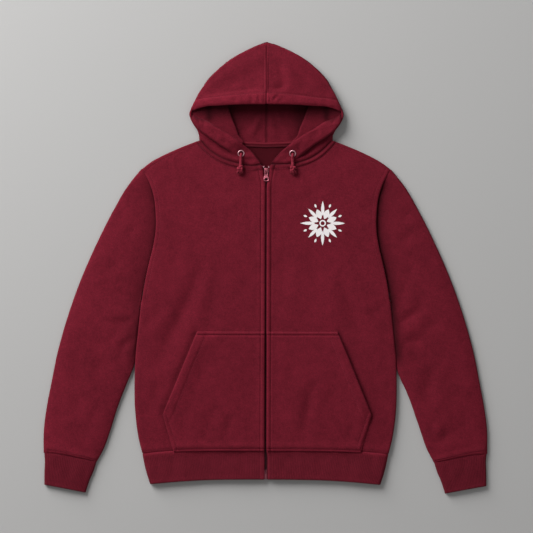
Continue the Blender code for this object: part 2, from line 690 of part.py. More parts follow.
def tube(name, points, depth, res, mat):
    cu = bpy.data.curves.new(name, 'CURVE')
    cu.dimensions = '3D'
    cu.bevel_depth = depth * MM
    cu.bevel_resolution = res
    cu.use_fill_caps = True
    sp = cu.splines.new('POLY')
    sp.points.add(len(points) - 1)
    for pt, p in zip(sp.points, points):
        pt.co = (p[0] * MM, p[1] * MM, p[2] * MM, 1)
    cu.materials.append(FINISH[mat])
    ob = bpy.data.objects.new(name, cu)
    hoodie.objects.link(ob)
    return ob


for word, side in (("left", 1), ("right", -1)):
    p, n = hood_top(EYELET_X, EYELET_Y)
    # eyelet: a turned ring with a rounded top
    bm = bmesh.new()
    mean, half = (EYELET_OUT + EYELET_IN) / 4, (EYELET_OUT - EYELET_IN) / 4
    prof = [(mean + half, 0), (mean + half, .5), (mean + half * .6, 1.3), (mean, EYELET_T),
            (mean - half, .8), (mean - half, 0)]
    verts = [bm.verts.new((r * MM, 0, z * MM)) for r, z in prof]
    for a, b in zip(verts, verts[1:] + verts[:1]):
        bm.edges.new((a, b))
    mesh = bpy.data.meshes.new("eyelet_" + word)
    bm.to_mesh(mesh)
    bm.free()
    ob = add("eyelet_" + word, mesh, "metal")
    sc = ob.modifiers.new("turn", 'SCREW')
    sc.steps = sc.render_steps = 16
    sc.use_merge_vertices = True
    sc.merge_threshold = 0.00001
    sc.use_normal_calculate = True
    n = Vector((side * n.x, n.y, n.z))
    base = Vector((side * p.x, p.y, p.z)) + n * (HOOD_CLOTH / 2 + SEAM + .3)
    ob.rotation_mode = 'QUATERNION'
    ob.rotation_quaternion = Vector((0, 0, 1)).rotation_difference(n)
    ob.location = base * MM

    run = cord_route(side)
    pts = [smooth_at(run, i / 7) for i in range(8)]
    tube("cord_" + word, [(side * x, y, z) for x, y, z in pts], CORD_D / 2, 2, "cord")

    # knot and frayed tail
    ex, ey, ez = run[-1]
    bm = bmesh.new()
    bmesh.ops.create_uvsphere(bm, u_segments=12, v_segments=8, radius=1.0)
    bmesh.ops.scale(bm, vec=(6.6 * MM, 4.6 * MM, 4.5 * MM), verts=bm.verts)
    mesh = bpy.data.meshes.new("knot_" + word)
    bm.to_mesh(mesh)
    bm.free()
    mesh.shade_smooth()
    ob = add("knot_" + word, mesh, "cord")
    kz = front_z(ex, ey - 5) + FLEECE / 2 + SEAM + 4.6
    ob.location = (side * ex * MM, (ey - 4.95) * MM, kz * MM)
    lean = 1.2
    tail = [(side * (ex + lean * k), ey - 10.4 - 3.3 * k, front_z(ex, ey - 12) + FLEECE / 2 + 4.4)
            for k in range(3)]
    tube("cord_end_" + word, tail, 3.9, 2, "cord")
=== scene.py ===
"""Looks of a zip-up hooded sweatshirt that lies face up on a surface.

+X is the wearer's left, +Y points from hem to hood, +Z is up.  Sizes in the
tables and in the shape functions are millimetres; objects are in metres.
"""
from math import sin, cos, pi, radians, sqrt, hypot, atan2
import bmesh
import bpy
import numpy as np
from mathutils import Vector, Matrix
from mathutils.bvhtree import BVHTree


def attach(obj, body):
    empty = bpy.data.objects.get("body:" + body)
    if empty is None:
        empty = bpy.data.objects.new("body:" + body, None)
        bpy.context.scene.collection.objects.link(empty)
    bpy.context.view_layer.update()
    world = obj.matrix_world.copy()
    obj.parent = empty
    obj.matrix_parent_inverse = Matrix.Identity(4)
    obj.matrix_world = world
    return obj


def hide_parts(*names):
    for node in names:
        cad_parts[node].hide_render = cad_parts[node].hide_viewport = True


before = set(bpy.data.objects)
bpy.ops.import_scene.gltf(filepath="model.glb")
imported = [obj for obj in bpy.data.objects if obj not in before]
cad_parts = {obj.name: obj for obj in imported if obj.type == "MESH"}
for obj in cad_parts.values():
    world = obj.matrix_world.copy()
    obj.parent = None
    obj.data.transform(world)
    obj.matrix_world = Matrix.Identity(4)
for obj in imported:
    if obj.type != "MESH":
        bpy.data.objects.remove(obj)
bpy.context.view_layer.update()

MM = .001
FLEECE, HOOD_CLOTH, RIB = 2.5, 2.2, 2.5
BACK_MID, FRONT_MID, SLEEVE_MID, CUFF_MID = 1.25, 7.0, 5.75, 5.9
EDGE_R, EDGE_Z = 2.875, 4.125
HOOD_FLOOR, TUCK_LOW, TUCK_HIGH = 1.1, 5.4, 8.4
EYELET_X, EYELET_Y = 51.6, 228.2
CORD_D = 6.0
PIVOT_Y, PIVOT_Z = 195.0, 9.3
PX = 2.0                          # millimetres to a picture element
GARMENT, PULL = "garment", "pull_tab"


def W(px, py):
    """Picture place to plan place."""
    return ((px - 265.5) * PX, (267.5 - py) * PX)


# ------------------------------------------------------------ camera
REACH = 7.0
cam_data = bpy.data.cameras.new("camera")
cam_data.sensor_width = 36
cam_data.lens = 36 * REACH / (533 * PX * MM)
cam_data.clip_start, cam_data.clip_end = .1, 100
camera = bpy.data.objects.new("camera", cam_data)
bpy.context.scene.collection.objects.link(camera)
camera.location = (.5 * PX * MM, 1.1 * PX * MM, REACH + .008)
camera.rotation_euler = (0, 0, .003)
bpy.context.scene.camera = camera

# ------------------------------------------------------------ outline tables (mm)
SIDE_EDGE = [(245.8, -371.6), (251.5, -350), (257.6, -315), (261.2, -275),
             (261.8, -230), (260.6, -185), (254.8, -125), (248.8, -68)]
ARMHOLE = [(248.8, -68), (243, -32), (234.5, 8), (226, 43), (221.3, 75),
           (221.5, 110), (225, 140), (230, 158), (236, 173), (242.5, 186),
           (248.2, 196)]
SHOULDER = [(131, 255.5), (157, 245.6), (184, 234), (209, 222), (231, 209.5),
            (248.2, 196)]
FRONT_EDGE = [(1.7, -364.2), (1.7, -300), (1.7, -180), (1.7, -60), (1.7, 60),
              (1.7, 130), (1.7, 160), (2.3, 173), (5.3, 186), (6.3, 194),
              (6.9, 200), (10, 206.7)]
NECK_FRONT = [(10, 206.7), (28, 206.9), (45, 207.4), (60, 209.6), (74, 213.2), (89, 219.2),
              (104, 228.2), (118.6, 241), (131, 255.5)]
NECK_BACK = [(0, 241.5), (48, 243.6), (95, 248.8), (131, 255.5)]
SLEEVE_OUTER = [(248.2, 196), (276, 162), (304, 114), (339.8, 42.4), (370.8, -29.5),
                (395.8, -101), (415.8, -173), (427.8, -233), (436.8, -281),
                (442.3, -325), (442.8, -371)]
SLEEVE_INNER = [(252.4, -68), (258.8, -125), (264.8, -185), (271.0, -210),
                (280, -234), (297.4, -281), (312.4, -329), (324.2, -362),
                (338.2, -388.4)]
SLEEVE_END = [(442.8, -371), (414, -373), (376, -380), (338.2, -388.4)]
CUFF_START = [(441.0, -371.9), (414, -373.8), (376, -380.8), (339.2, -389.2)]
CUFF_OUTER = [(441.0, -371.9), (439.9, -388), (440.6, -409), (440.9, -435)]
CUFF_INNER = [(339.2, -389.2), (344.8, -407), (353.2, -427), (360.6, -450)]
CUFF_END = [(440.9, -435), (415, -439.5), (388, -444.5), (360.6, -450)]
HEM_EDGE = [(244.6, -372.4), (241, -392), (236, -412), (229.3, -434)]
HEM_END = [(3.3, -424), (60, -424.2), (120, -425.6), (175, -429), (229.3, -434)]

# panel rows, columns: place on the inner boundary, place on the outer boundary
FRONT_ROWS = [(0, 0), (.13, .22), (.25, .45), (.36, .68), (.46, .87), (.53, 1.0),
              (.60, 1.12), (.69, 1.30), (.78, 1.50), (.87, 1.70), (.93, 1.80),
              (1.0, 1.875), (1.25, 1.91), (1.50, 1.935), (1.75, 1.965), (2, 2)]
BACK_ROWS = [(0, 0), (.15, .22), (.30, .45), (.42, .68), (.51, .87), (.57, 1.0),
             (.63, 1.12), (.73, 1.30), (.82, 1.50), (.91, 1.70), (.96, 1.80),
             (1.0, 1.86), (1.35, 1.915), (1.70, 1.96), (2, 2)]

# hood ribs, columns: mouth x, y, height | side x, y, height | reach of the side
# tuck x, y | y where the rib meets the centre seam underneath | pull of the neck curve
HOOD_RIBS = [
    (10.0, 206.7, 7.0, 131.0, 255.5, 7.0, 131, 255.5, 241.5, 1.0),
    (27.0, 229.0, 9.6, 134.0, 264.0, 9.4, 134, 264.0, 253.0, .40),
    (46.2, 245.4, 13.0, 137.5, 274.0, 12.4, 48, 248.5, 267.0, .10),
    (70.6, 262.4, 13.6, 144.0, 283.0, 12.4, 53, 265.0, 283.0, 0),
    (92.4, 274.4, 13.6, 149.0, 292.0, 12.4, 58, 280.0, 299.0, 0),
    (114.6, 288.8, 13.0, 152.2, 301.0, 12.4, 65, 297.0, 315.0, 0),
    (138.0, 297.6, 12.0, 153.2, 307.0, 12.4, 70, 311.0, 333.0, 0),
    (147.2, 306.9, 11.6, 152.4, 313.0, 12.4, 75, 325.0, 349.0, 0),
    (143.0, 314.6, 13.2, 149.4, 322.0, 12.4, 82, 341.0, 365.0, 0),
    (118.5, 322.3, 17.0, 143.4, 337.0, 12.4, 98, 353.0, 381.0, 0),
    (93.0, 323.4, 20.5, 131.0, 357.0, 12.2, 119, 362.0, 397.0, 0),
    (63.0, 325.2, 23.5, 111.0, 383.0, 12.0, 111, 383.0, 413.0, 0),
    (31.0, 325.8, 25.2, 75.0, 416.0, 12.0, 75, 416.0, 427.0, 0),
    (11.0, 326.0, 25.6, 30.0, 441.5, 12.0, 30, 441.5, 436.0, 0),
    (0.25, 326.0, 25.7, 0.25, 449.4, 12.0, 0.25, 449.4, 439.0, 0)]

# the hood's outline leans to the wearer's left: moves of each rib's side, by picture side
SIDE_MOVES = {-1: [(0, 0), (0, 0), (-.6, 0), (-1.2, 0), (-.4, 0), (0, 0), (0, 0), (-.8, 0), (-1.6, 0),
                   (-3, 0), (-1.6, 0), (-1.0, -.4), (-2.4, -1.0), (-.6, -2.6), (0, .8)],
              1: [(0, 0), (-1.8, 0), (-1.0, 0), (-.8, 0), (0, 0), (.5, 0), (0, 0), (-.4, 0), (-1.4, 0),
                  (-2.4, 0), (0, 0), (2.6, .4), (1.2, .2), (0, -1.0), (0, .8)]}

# pocket rows, columns: y, outer x, stand-off of the outer edge (share of the lift)
POCKET_ROWS = [(-131, 142.0, 0), (-170, 158.0, .6), (-212, 175.2, 1), (-255, 192.8, 1),
               (-294.5, 209.0, .1), (-330, 198.0, 0), (-361.6, 187.6, 0)]


# ------------------------------------------------------------ curves and fields
def chord(points):
    run = [0.0]
    for a, b in zip(points, points[1:]):
        run.append(run[-1] + sqrt(sum((p - q) ** 2 for p, q in zip(a, b))))
    return run


def smooth_at(points, t):
    """Point at share t of the length of a smooth curve through the points."""
    run = chord(points)
    want = min(max(t, 0.0), 1.0) * run[-1]
    i = 0
    while i < len(points) - 2 and run[i + 1] < want:
        i += 1
    f = (want - run[i]) / (run[i + 1] - run[i])
    a, b = points[i], points[i + 1]
    before = points[i - 1] if i else tuple(2 * p - q for p, q in zip(a, b))
    after = points[i + 2] if i + 2 < len(points) else tuple(2 * q - p for p, q in zip(a, b))
    span = run[i + 1] - run[i]
    left = run[i] - run[i - 1] if i else span
    right = run[i + 2] - run[i + 1] if i + 2 < len(points) else span
    out = []
    for k in range(len(a)):
        ta = ((b[k] - a[k]) / span * left + (a[k] - before[k]) / left * span) / (left + span) * span
        tb = ((after[k] - b[k]) / right * span + (b[k] - a[k]) / span * right) / (right + span) * span
        out.append(a[k] * (2 * f ** 3 - 3 * f ** 2 + 1) + ta * (f ** 3 - 2 * f ** 2 + f)
                   + b[k] * (3 * f ** 2 - 2 * f ** 3) + tb * (f ** 3 - f ** 2))
    return tuple(out)


class Curve:
    """A smooth curve through points, read at a share of its length."""
    def __init__(self, points, n=400):
        self.t = np.linspace(0, 1, n + 1)
        self.p = np.array([smooth_at(points, t) for t in self.t])
        self.length = chord([tuple(p) for p in self.p])[-1]

    def __call__(self, t):
        t = np.clip(t, 0, 1)
        return np.stack([np.interp(t, self.t, self.p[:, k])
                         for k in range(self.p.shape[1])], -1)

    def away(self, x, y, step=4):
        """Distance in plan from points to the curve."""
        return away(x, y, self.p[::step])


def away(x, y, line):
    best = np.full(np.shape(x), 1e9)
    for (ax, ay), (bx, by) in zip(line[:-1, :2], line[1:, :2]):
        dx, dy = bx - ax, by - ay
        f = np.clip(((x - ax) * dx + (y - ay) * dy) / (dx * dx + dy * dy + 1e-12), 0, 1)
        best = np.minimum(best, np.hypot(x - ax - f * dx, y - ay - f * dy))
    return best


def ease(x):
    x = np.clip(x, 0.0, 1.0)
    return x * x * (3 - 2 * x)


def bell(d, w):
    return np.exp(-(d / w) ** 2)


def coons(bottom, top, left, right, S, T):
    """Patch between four boundary curves, each read at 0..1."""
    s, t = S[..., None], T[..., None]
    c00, c10, c01, c11 = bottom(0.0), bottom(1.0), top(0.0), top(1.0)
    return ((1 - t) * bottom(S) + t * top(S) + (1 - s) * left(T) + s * right(T)
            - ((1 - s) * (1 - t) * c00 + s * (1 - t) * c10 + (1 - s) * t * c01 + s * t * c11))


def lattice(i, j, seed):
    h = np.sin(i * 127.1 + j * 311.7 + seed * 74.7) * 43758.5453
    return h - np.floor(h)


def noise(x, y, size, seed=0):
    """Smooth noise from -1 to 1 with features of about the given size."""
    a = .6 + seed
    u, v = (x * cos(a) + y * sin(a)) / size, (y * cos(a) - x * sin(a)) / size
    i, j = np.floor(u), np.floor(v)
    f, g = ease(u - i), ease(v - j)
    return 2 * ((lattice(i, j, seed) * (1 - f) + lattice(i + 1, j, seed) * f) * (1 - g)
                + (lattice(i, j + 1, seed) * (1 - f) + lattice(i + 1, j + 1, seed) * f) * g) - 1


def rumple(x, y, seed, big=.55, mid=.28, small=.10):
    """The soft unevenness of laid cloth."""
    return (big * noise(x, y, 95, seed) + mid * noise(x, y, 41, seed + 1)
            + small * noise(x, y, 17, seed + 2) + .035 * noise(x, y, 7, seed + 3))


def crease(x, y, table):
    """Troughs with a soft ridge beside them. Columns: picture x, y of one end |
    of the other end | half width, depth, bow (mm)."""
    z = np.zeros(np.shape(x))
    for px0, py0, px1, py1, wide, deep, bow in table:
        (ax, ay), (bx, by) = W(px0, py0), W(px1, py1)
        dx, dy = bx - ax, by - ay
        size = hypot(dx, dy)
        a = ((x - ax) * dx + (y - ay) * dy) / size ** 2
        p = ((y - ay) * dx - (x - ax) * dy) / size
        inside = np.clip(a, 0, 1)
        p = p - bow * 4 * inside * (1 - inside)
        taper = np.sin(pi * inside) ** .8
        grow = wide * (.75 + .5 * inside)
        z += taper * deep * (-bell(p, grow) + .45 * bell(p - 2.1 * grow, grow * 1.1)
                             + .30 * bell(p + 2.3 * grow, grow * 1.3))
    return z


def drop_off(x, y, table):
    """Steps down across a line, easing back slowly beyond it. Columns: picture x, y of one
    end | of the other end | half width, depth, way back (mm); the low side is on the left."""
    z = np.zeros(np.shape(x))
    for px0, py0, px1, py1, wide, deep, back in table:
        (ax, ay), (bx, by) = W(px0, py0), W(px1, py1)
        dx, dy = bx - ax, by - ay
        size = hypot(dx, dy)
        a = np.clip(((x - ax) * dx + (y - ay) * dy) / size ** 2, 0, 1)
        p = (dx * (y - ay) - dy * (x - ax)) / size
        z -= np.sin(pi * a) ** .6 * deep * ease((p + wide) / (2 * wide)) * np.exp(
            -np.maximum(p - wide, 0) / back)
    return z


def stations(stops, steps):
    """Places from stops[0] to stops[-1], with about steps[i] between them."""
    out = [stops[0]]
    for a, b, step in zip(stops, stops[1:], steps):
        n = max(1, int(round(abs(b - a) / step)))
        out += [a + (b - a) * k / n for k in range(1, n + 1)]
    return np.array(out)


# ------------------------------------------------------------ mesh making
BUILT = {}


def finish_mesh(name, verts, faces, mat, body=GARMENT, smooth=True, uv=None, shade=None,
                nodes=(), slot=None):
    """A mesh object from points in millimetres. uv holds a pair (m) for each face corner."""
    mesh = bpy.data.meshes.new(name)
    verts = np.asarray(verts, float)
    n = len(faces)
    quad = all(len(f) == 4 for f in faces[:1]) and isinstance(faces, np.ndarray)
    if quad:
        mesh.vertices.add(len(verts))
        mesh.vertices.foreach_set("co", (verts * MM).ravel())
        mesh.loops.add(n * faces.shape[1])
        mesh.loops.foreach_set("vertex_index", faces.ravel())
        mesh.polygons.add(n)
        mesh.polygons.foreach_set("loop_start", np.arange(n) * faces.shape[1])
        mesh.polygons.foreach_set("loop_total", np.full(n, faces.shape[1]))
        mesh.update(calc_edges=True)
    else:
        mesh.from_pydata([tuple(v * MM) for v in verts], [], [tuple(f) for f in faces])
    mesh.validate()
    if uv is not None:
        layer = mesh.uv_layers.new(name="cloth")
        layer.data.foreach_set("uv", np.asarray(uv, float).ravel())
    # painted shading: a factor on the base colour at each point, standing in for shade and light
    tone = mesh.attributes.new("tone", 'FLOAT', 'POINT')
    tone.data.foreach_set("value", np.ones(len(verts), np.float32) if shade is None
                          else np.asarray(shade, np.float32))
    if smooth:
        mesh.shade_smooth()
    ob = bpy.data.objects.new(name, mesh)
    bpy.context.scene.collection.objects.link(ob)
    mesh.materials.append(mat)
    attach(ob, body)
    if nodes:
        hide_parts(*nodes)
    BUILT[name] = (verts, faces)
    return ob


def normals_of(P, wrap):
    if wrap:
        du = np.roll(P, -1, 0) - np.roll(P, 1, 0)
    else:
        du = np.gradient(P, axis=0)
    dv = np.gradient(P, axis=1)
    N = np.cross(du, dv)
    size = np.linalg.norm(N, axis=-1, keepdims=True)
    N = N / np.maximum(size, 1e-9)
    return N, du, dv


def shell(name, P, thick, mat, wrap=False, rim=4, uv=None, tone=None, flip=False, relief=None,
          **kw):
    """A closed sheet of cloth about the grid P of middle points, with rounded edges.
    relief stands the outer face off by more, point by point. The painted shade and painted
    light given for the grid are seen from above, so faces that look down are left without it."""
    if flip:
        P = P[:, ::-1]
        uv = None if uv is None else uv[:, ::-1]
        tone = None if tone is None else tone[:, ::-1]
        relief = None if relief is None else relief[:, ::-1]
        thick = thick[:, ::-1] if np.ndim(thick) else thick
    nu, nv = P.shape[:2]
    N, du, dv = normals_of(P, wrap)
    T = np.broadcast_to(np.asarray(thick, float) / 2, (nu, nv))[..., None]
    up = T if relief is None else T + relief[..., None]
    A, B = P + N * up, P - N * T
    idx = np.arange(nu * nv).reshape(nu, nv)
    i1 = np.roll(idx, -1, 0) if wrap else idx[1:]
    i0 = idx if wrap else idx[:-1]
    quads = np.stack([i0[:, :-1], i1[:, :-1], i1[:, 1:], i0[:, 1:]], -1).reshape(-1, 4)
    off = nu * nv
    verts = [A.reshape(-1, 3), B.reshape(-1, 3)]
    faces = [quads, quads[:, [0, 3, 2, 1]] + off]
    if uv is None:
        length_u = np.concatenate([np.zeros((1, nv)), np.cumsum(
            np.linalg.norm(np.diff(P, axis=0), axis=-1), 0)], 0)
        length_v = np.concatenate([np.zeros((nu, 1)), np.cumsum(
            np.linalg.norm(np.diff(P, axis=1), axis=-1), 1)], 1)
        uv = np.stack([length_u.mean(1)[:, None] + 0 * length_v, length_v], -1)
    uv = uv * MM
    if wrap:
        last = uv[-1:] * 2 - uv[-2:-1]
        uv = np.concatenate([uv, last], 0)
    c = np.stack([uv[:-1, :-1], uv[1:, :-1], uv[1:, 1:], uv[:-1, 1:]], 2).reshape(-1, 4, 2)
    uvs = [c, c[:, [0, 3, 2, 1]]]
    tone = np.ones((nu, nv)) if tone is None else tone
    from_above = lambda n, t: 1 + (t - 1) * np.clip((n + .35) / .3, 0, 1)
    shades = [from_above(N[..., 2], tone).ravel(), from_above(-N[..., 2], tone).ravel()]
    # the rounded edge
    if wrap:
        loops = [([(i, 0) for i in range(nu)], [(0, -1)] * nu, True),
                 ([(i, nv - 1) for i in range(nu)][::-1], [(0, 1)] * nu, True)]
    else:
        ring, dirs = [], []
        ring += [(i, 0) for i in range(nu - 1)]
        dirs += [(0, -1)] * (nu - 1)
        ring += [(nu - 1, j) for j in range(nv - 1)]
        dirs += [(1, 0)] * (nv - 1)
        ring += [(i, nv - 1) for i in range(nu - 1, 0, -1)]
        dirs += [(0, 1)] * (nu - 1)
        ring += [(0, j) for j in range(nv - 1, 0, -1)]
        dirs += [(-1, 0)] * (nv - 1)
        for k, (i, j) in enumerate(ring):
            if i in (0, nu - 1) and j in (0, nv - 1):
                dirs[k] = (1 if i else -1, 1 if j else -1)
        loops = [(ring, dirs, True)]
    base = 2 * off
    for ring, dirs, _ in loops:
        m = len(ring)
        ii, jj = np.array([r[0] for r in ring]), np.array([r[1] for r in ring])
        di, dj = np.array([d[0] for d in dirs], float), np.array([d[1] for d in dirs], float)
        n = N[ii, jj]
        u = du[ii, jj] / np.maximum(np.linalg.norm(du[ii, jj], axis=-1, keepdims=True), 1e-9)
        v = dv[ii, jj] / np.maximum(np.linalg.norm(dv[ii, jj], axis=-1, keepdims=True), 1e-9)
        b = u * di[:, None] + v * dj[:, None]
        b = b - n * (b * n).sum(-1, keepdims=True)
        b = b / np.maximum(np.linalg.norm(b, axis=-1, keepdims=True), 1e-9)
        t = T[ii, jj]
        high = up[ii, jj]
        rings = [idx[ii, jj]]
        for k in range(1, rim):
            a = pi * k / rim
            mid, half = (high - t) / 2, (high + t) / 2
            verts.append(P[ii, jj] + n * (mid + half * cos(a)) + b * half * sin(a))
            rings.append(base + np.arange(m))
            base += m
            shades.append(from_above((n * cos(a) + b * sin(a))[:, 2], tone[ii, jj]))
        rings.append(idx[ii, jj] + off)
        for r0, r1 in zip(rings, rings[1:]):
            nxt0, nxt1 = np.roll(r0, -1), np.roll(r1, -1)
            faces.append(np.stack([nxt0, r0, r1, nxt1], -1))
            w = uv[ii, jj]
            w1 = np.roll(w, -1, 0)
            uvs.append(np.stack([w1, w, w, w1], 1))
    verts = np.concatenate(verts)
    faces = np.concatenate(faces)
    return finish_mesh(name, verts, faces, mat, uv=np.concatenate(uvs),
                       shade=np.concatenate(shades), **kw)


def tube_mesh(path, radius, sides, relief=None, closed=False, cap=True):
    """Points and quads of a tube along a path; relief(angle, length) scales its radius."""
    path = np.asarray(path, float)
    n = len(path)
    tang = np.gradient(path, axis=0)
    if closed:
        tang = np.roll(path, -1, 0) - np.roll(path, 1, 0)
    tang /= np.linalg.norm(tang, axis=1, keepdims=True)
    ref = np.array([0, 0, 1.0])
    if abs(tang[0] @ ref) > .9:
        ref = np.array([1.0, 0, 0])
    side = np.cross(ref, tang[0])
    side /= np.linalg.norm(side)
    frames = []
    for k in range(n):
        side = side - tang[k] * (side @ tang[k])
        side /= np.linalg.norm(side)
        frames.append((side.copy(), np.cross(tang[k], side)))
    run = np.concatenate([[0], np.cumsum(np.linalg.norm(np.diff(path, axis=0), axis=1))])
    radius = np.broadcast_to(radius, (n,))
    a = np.arange(sides) * 2 * pi / sides
    verts = []
    for k in range(n):
        r = radius[k] * (np.ones(sides) if relief is None else relief(a, run[k]))
        verts.append(path[k] + (np.cos(a) * r)[:, None] * frames[k][0]
                     + (np.sin(a) * r)[:, None] * frames[k][1])
    verts = np.concatenate(verts)
    faces = []
    rows = n if closed else n - 1
    for k in range(rows):
        k1 = (k + 1) % n
        for i in range(sides):
            i1 = (i + 1) % sides
            faces.append((k * sides + i, k * sides + i1, k1 * sides + i1, k1 * sides + i))
    if not closed and cap:
        c0, c1 = len(verts), len(verts) + 1
        verts = np.concatenate([verts, [path[0], path[-1]]])
        for i in range(sides):
            i1 = (i + 1) % sides
            faces.append((c0, i1, i))
            faces.append((c1, (n - 1) * sides + i, (n - 1) * sides + i1))
    return verts, faces


def joined(parts):
    verts, faces, base = [], [], 0
    for v, f in parts:
        verts.append(v)
        faces += [tuple(i + base for i in q) for q in f]
        base += len(v)
    return np.concatenate(verts), faces


# ------------------------------------------------------------ materials
class Net:
    """Short hand for a material's nodes."""
    def __init__(self, name):
        self.mat = bpy.data.materials.new(name)
        self.mat.use_nodes = True
        self.nodes, self.links = self.mat.node_tree.nodes, self.mat.node_tree.links
        self.shader = self.nodes["Principled BSDF"]

    def put(self, socket, value):
        if isinstance(value, bpy.types.NodeSocket):
            self.links.new(value, socket)
        elif value is not None:
            socket.default_value = value

    def node(self, kind, out=0, **inputs):
        n = self.nodes.new("ShaderNode" + kind)
        for key, value in inputs.items():
            if key.startswith("_"):
                setattr(n, key[1:], value)
        for key, value in inputs.items():
            if not key.startswith("_"):
                self.put(n.inputs[int(key[1:]) if key[1:].isdigit() and key[0] == "i"
                                  else key.replace("0", " ")], value)
        return n.outputs[out]

    def math(self, op, a, b=None, c=None):
        n = self.nodes.new("ShaderNodeMath")
        n.operation = op
        for k, value in enumerate((a, b, c)):
            if value is not None:
                self.put(n.inputs[k], value)
        return n.outputs[0]

    def noise(self, where, scale, detail=2.0, rough=.55):
        n = self.nodes.new("ShaderNodeTexNoise")
        self.put(n.inputs["Vector"], where)
        n.inputs["Scale"].default_value = scale
        n.inputs["Detail"].default_value = detail
        n.inputs["Roughness"].default_value = rough
        return n.outputs[0]

    def scaled(self, colour, factor):
        n = self.nodes.new("ShaderNodeVectorMath")
        n.operation = 'SCALE'
        self.put(n.inputs[0], colour)
        self.put(n.inputs["Scale"], factor)
        return n.outputs[0]

    def mix(self, factor, a, b):
        n = self.nodes.new("ShaderNodeMix")
        n.data_type = 'RGBA'
        self.put(n.inputs[0], factor)
        self.put(n.inputs[6], a)
        self.put(n.inputs[7], b)
        return n.outputs[2]

    def split(self, vector):
        n = self.nodes.new("ShaderNodeSeparateXYZ")
        self.links.new(vector, n.inputs[0])
        return n.outputs

    def bump(self, height, strength, distance):
        n = self.nodes.new("ShaderNodeBump")
        self.links.new(height, n.inputs["Height"])
        n.inputs["Strength"].default_value = strength
        n.inputs["Distance"].default_value = distance
        self.links.new(n.outputs[0], self.shader.inputs["Normal"])

    # reads the painted shade and painted light kept on each point
    def tone(self):
        n = self.nodes.new("ShaderNodeAttribute")
        n.attribute_name = "tone"
        return n.outputs["Fac"]

    def cloth_uv(self):
        n = self.nodes.new("ShaderNodeUVMap")
        n.uv_map = "cloth"
        return n.outputs[0]

    def place(self):
        return self.nodes.new("ShaderNodeTexCoord").outputs["Object"]


def jersey(name, colour, wale=.00125, course=.00095, mottle=.24, grain=.55, pile=.5,
           knit=.5, sheen=.05, rough=.95, bump=.45):
    """Knitted cloth: columns of small V stitches under a soft nap."""
    net = Net(name)
    uv, at = net.cloth_uv(), net.place()
    u, v, _ = net.split(uv)
    col = net.math('DIVIDE', u, wale)
    part = net.math('ABSOLUTE', net.math('SUBTRACT', net.math('FRACT', col), .5))
    rows = net.math('ADD', net.math('DIVIDE', v, course), net.math('MULTIPLY', part, 1.5))
    loop = net.math('MULTIPLY_ADD', net.math('SINE', net.math('MULTIPLY', rows, 2 * pi)), .5, .5)
    rib = net.math('SUBTRACT', 1.0, net.math('MULTIPLY', net.math('POWER', net.math(
        'ABSOLUTE', net.math('SUBTRACT', net.math('MULTIPLY', part, 4), 1.0)), 2.0), .8))
    stitch = net.math('MULTIPLY', loop, rib)
    fuzz = net.noise(at, 2400, 2.0, .7)
    soft = net.noise(at, 430, 3.0, .7)
    patch = net.noise(at, 190, 3.0, .6)
    blotch = net.noise(at, 62, 4.0, .6)
    wide = net.noise(at, 13, 2.0, .5)
    bright = net.math('ADD', 1.0, net.math('MULTIPLY', net.math('SUBTRACT', blotch, .5), mottle * 2.2))
    bright = net.math('ADD', bright, net.math('MULTIPLY', net.math('SUBTRACT', wide, .5), mottle))
    bright = net.math('ADD', bright, net.math('MULTIPLY', net.math('SUBTRACT', soft, .5), grain * 2.1))
    bright = net.math('ADD', bright, net.math('MULTIPLY', net.math('SUBTRACT', patch, .5), grain * .8))
    bright = net.math('ADD', bright, net.math('MULTIPLY', net.math('SUBTRACT', stitch, .45), grain * .5))
    # painted shade and painted light from the mesh darken or lighten the cloth's colour
    bright = net.math('MULTIPLY', bright, net.tone())
    fibres = net.node("MapRange", Value=fuzz, i1=.55, i2=.78, i3=0.0, i4=.30)
    pale = tuple(min(1, c * 1.35 + .008) for c in colour) + (1,)
    base = net.mix(fibres, tuple(colour) + (1,), pale)
    net.put(net.shader.inputs["Base Color"], net.scaled(base, bright))
    s = net.shader.inputs
    net.put(s["Roughness"], net.math('MULTIPLY_ADD', soft, .10, rough - .06))
    s["Specular IOR Level"].default_value = .06
    s["Sheen Weight"].default_value = sheen
    s["Sheen Roughness"].default_value = .5
    s["Sheen Tint"].default_value = (.95, .30, .38, 1)
    height = net.math('ADD', net.math('MULTIPLY', stitch, knit), net.math('MULTIPLY', fuzz, pile))
    height = net.math('ADD', height, net.math('MULTIPLY', soft, .5))
    net.bump(height, bump, .0006)
    return net.mat


def twill(name, colour, pitch=.0011, sheen=.03):
    """Flat woven tape with a herringbone of fine diagonals."""
    net = Net(name)
    u, v, _ = net.split(net.cloth_uv())
    zig = net.math('PINGPONG', net.math('DIVIDE', v, .0045), 1.0)
    d = net.math('ADD', net.math('DIVIDE', u, pitch), net.math('MULTIPLY', zig, 4.0))
    line = net.math('MULTIPLY_ADD', net.math('SINE', net.math('MULTIPLY', d, 2 * pi)), .5, .5)
    soft = net.noise(net.place(), 900, 2.0)
    bright = net.math('ADD', .82, net.math('MULTIPLY', line, .24))
    bright = net.math('ADD', bright, net.math('MULTIPLY', net.math('SUBTRACT', soft, .5), .3))
    # painted shade and painted light from the mesh darken or lighten the tape's colour
    net.put(net.shader.inputs["Base Color"], net.scaled(
        tuple(colour), net.math('MULTIPLY', bright, net.tone())))
    s = net.shader.inputs
    s["Roughness"].default_value = .85
    s["Specular IOR Level"].default_value = .1
    s["Sheen Weight"].default_value = sheen
    net.bump(net.math('ADD', line, net.math('MULTIPLY', soft, .4)), .5, .0003)
    return net.mat


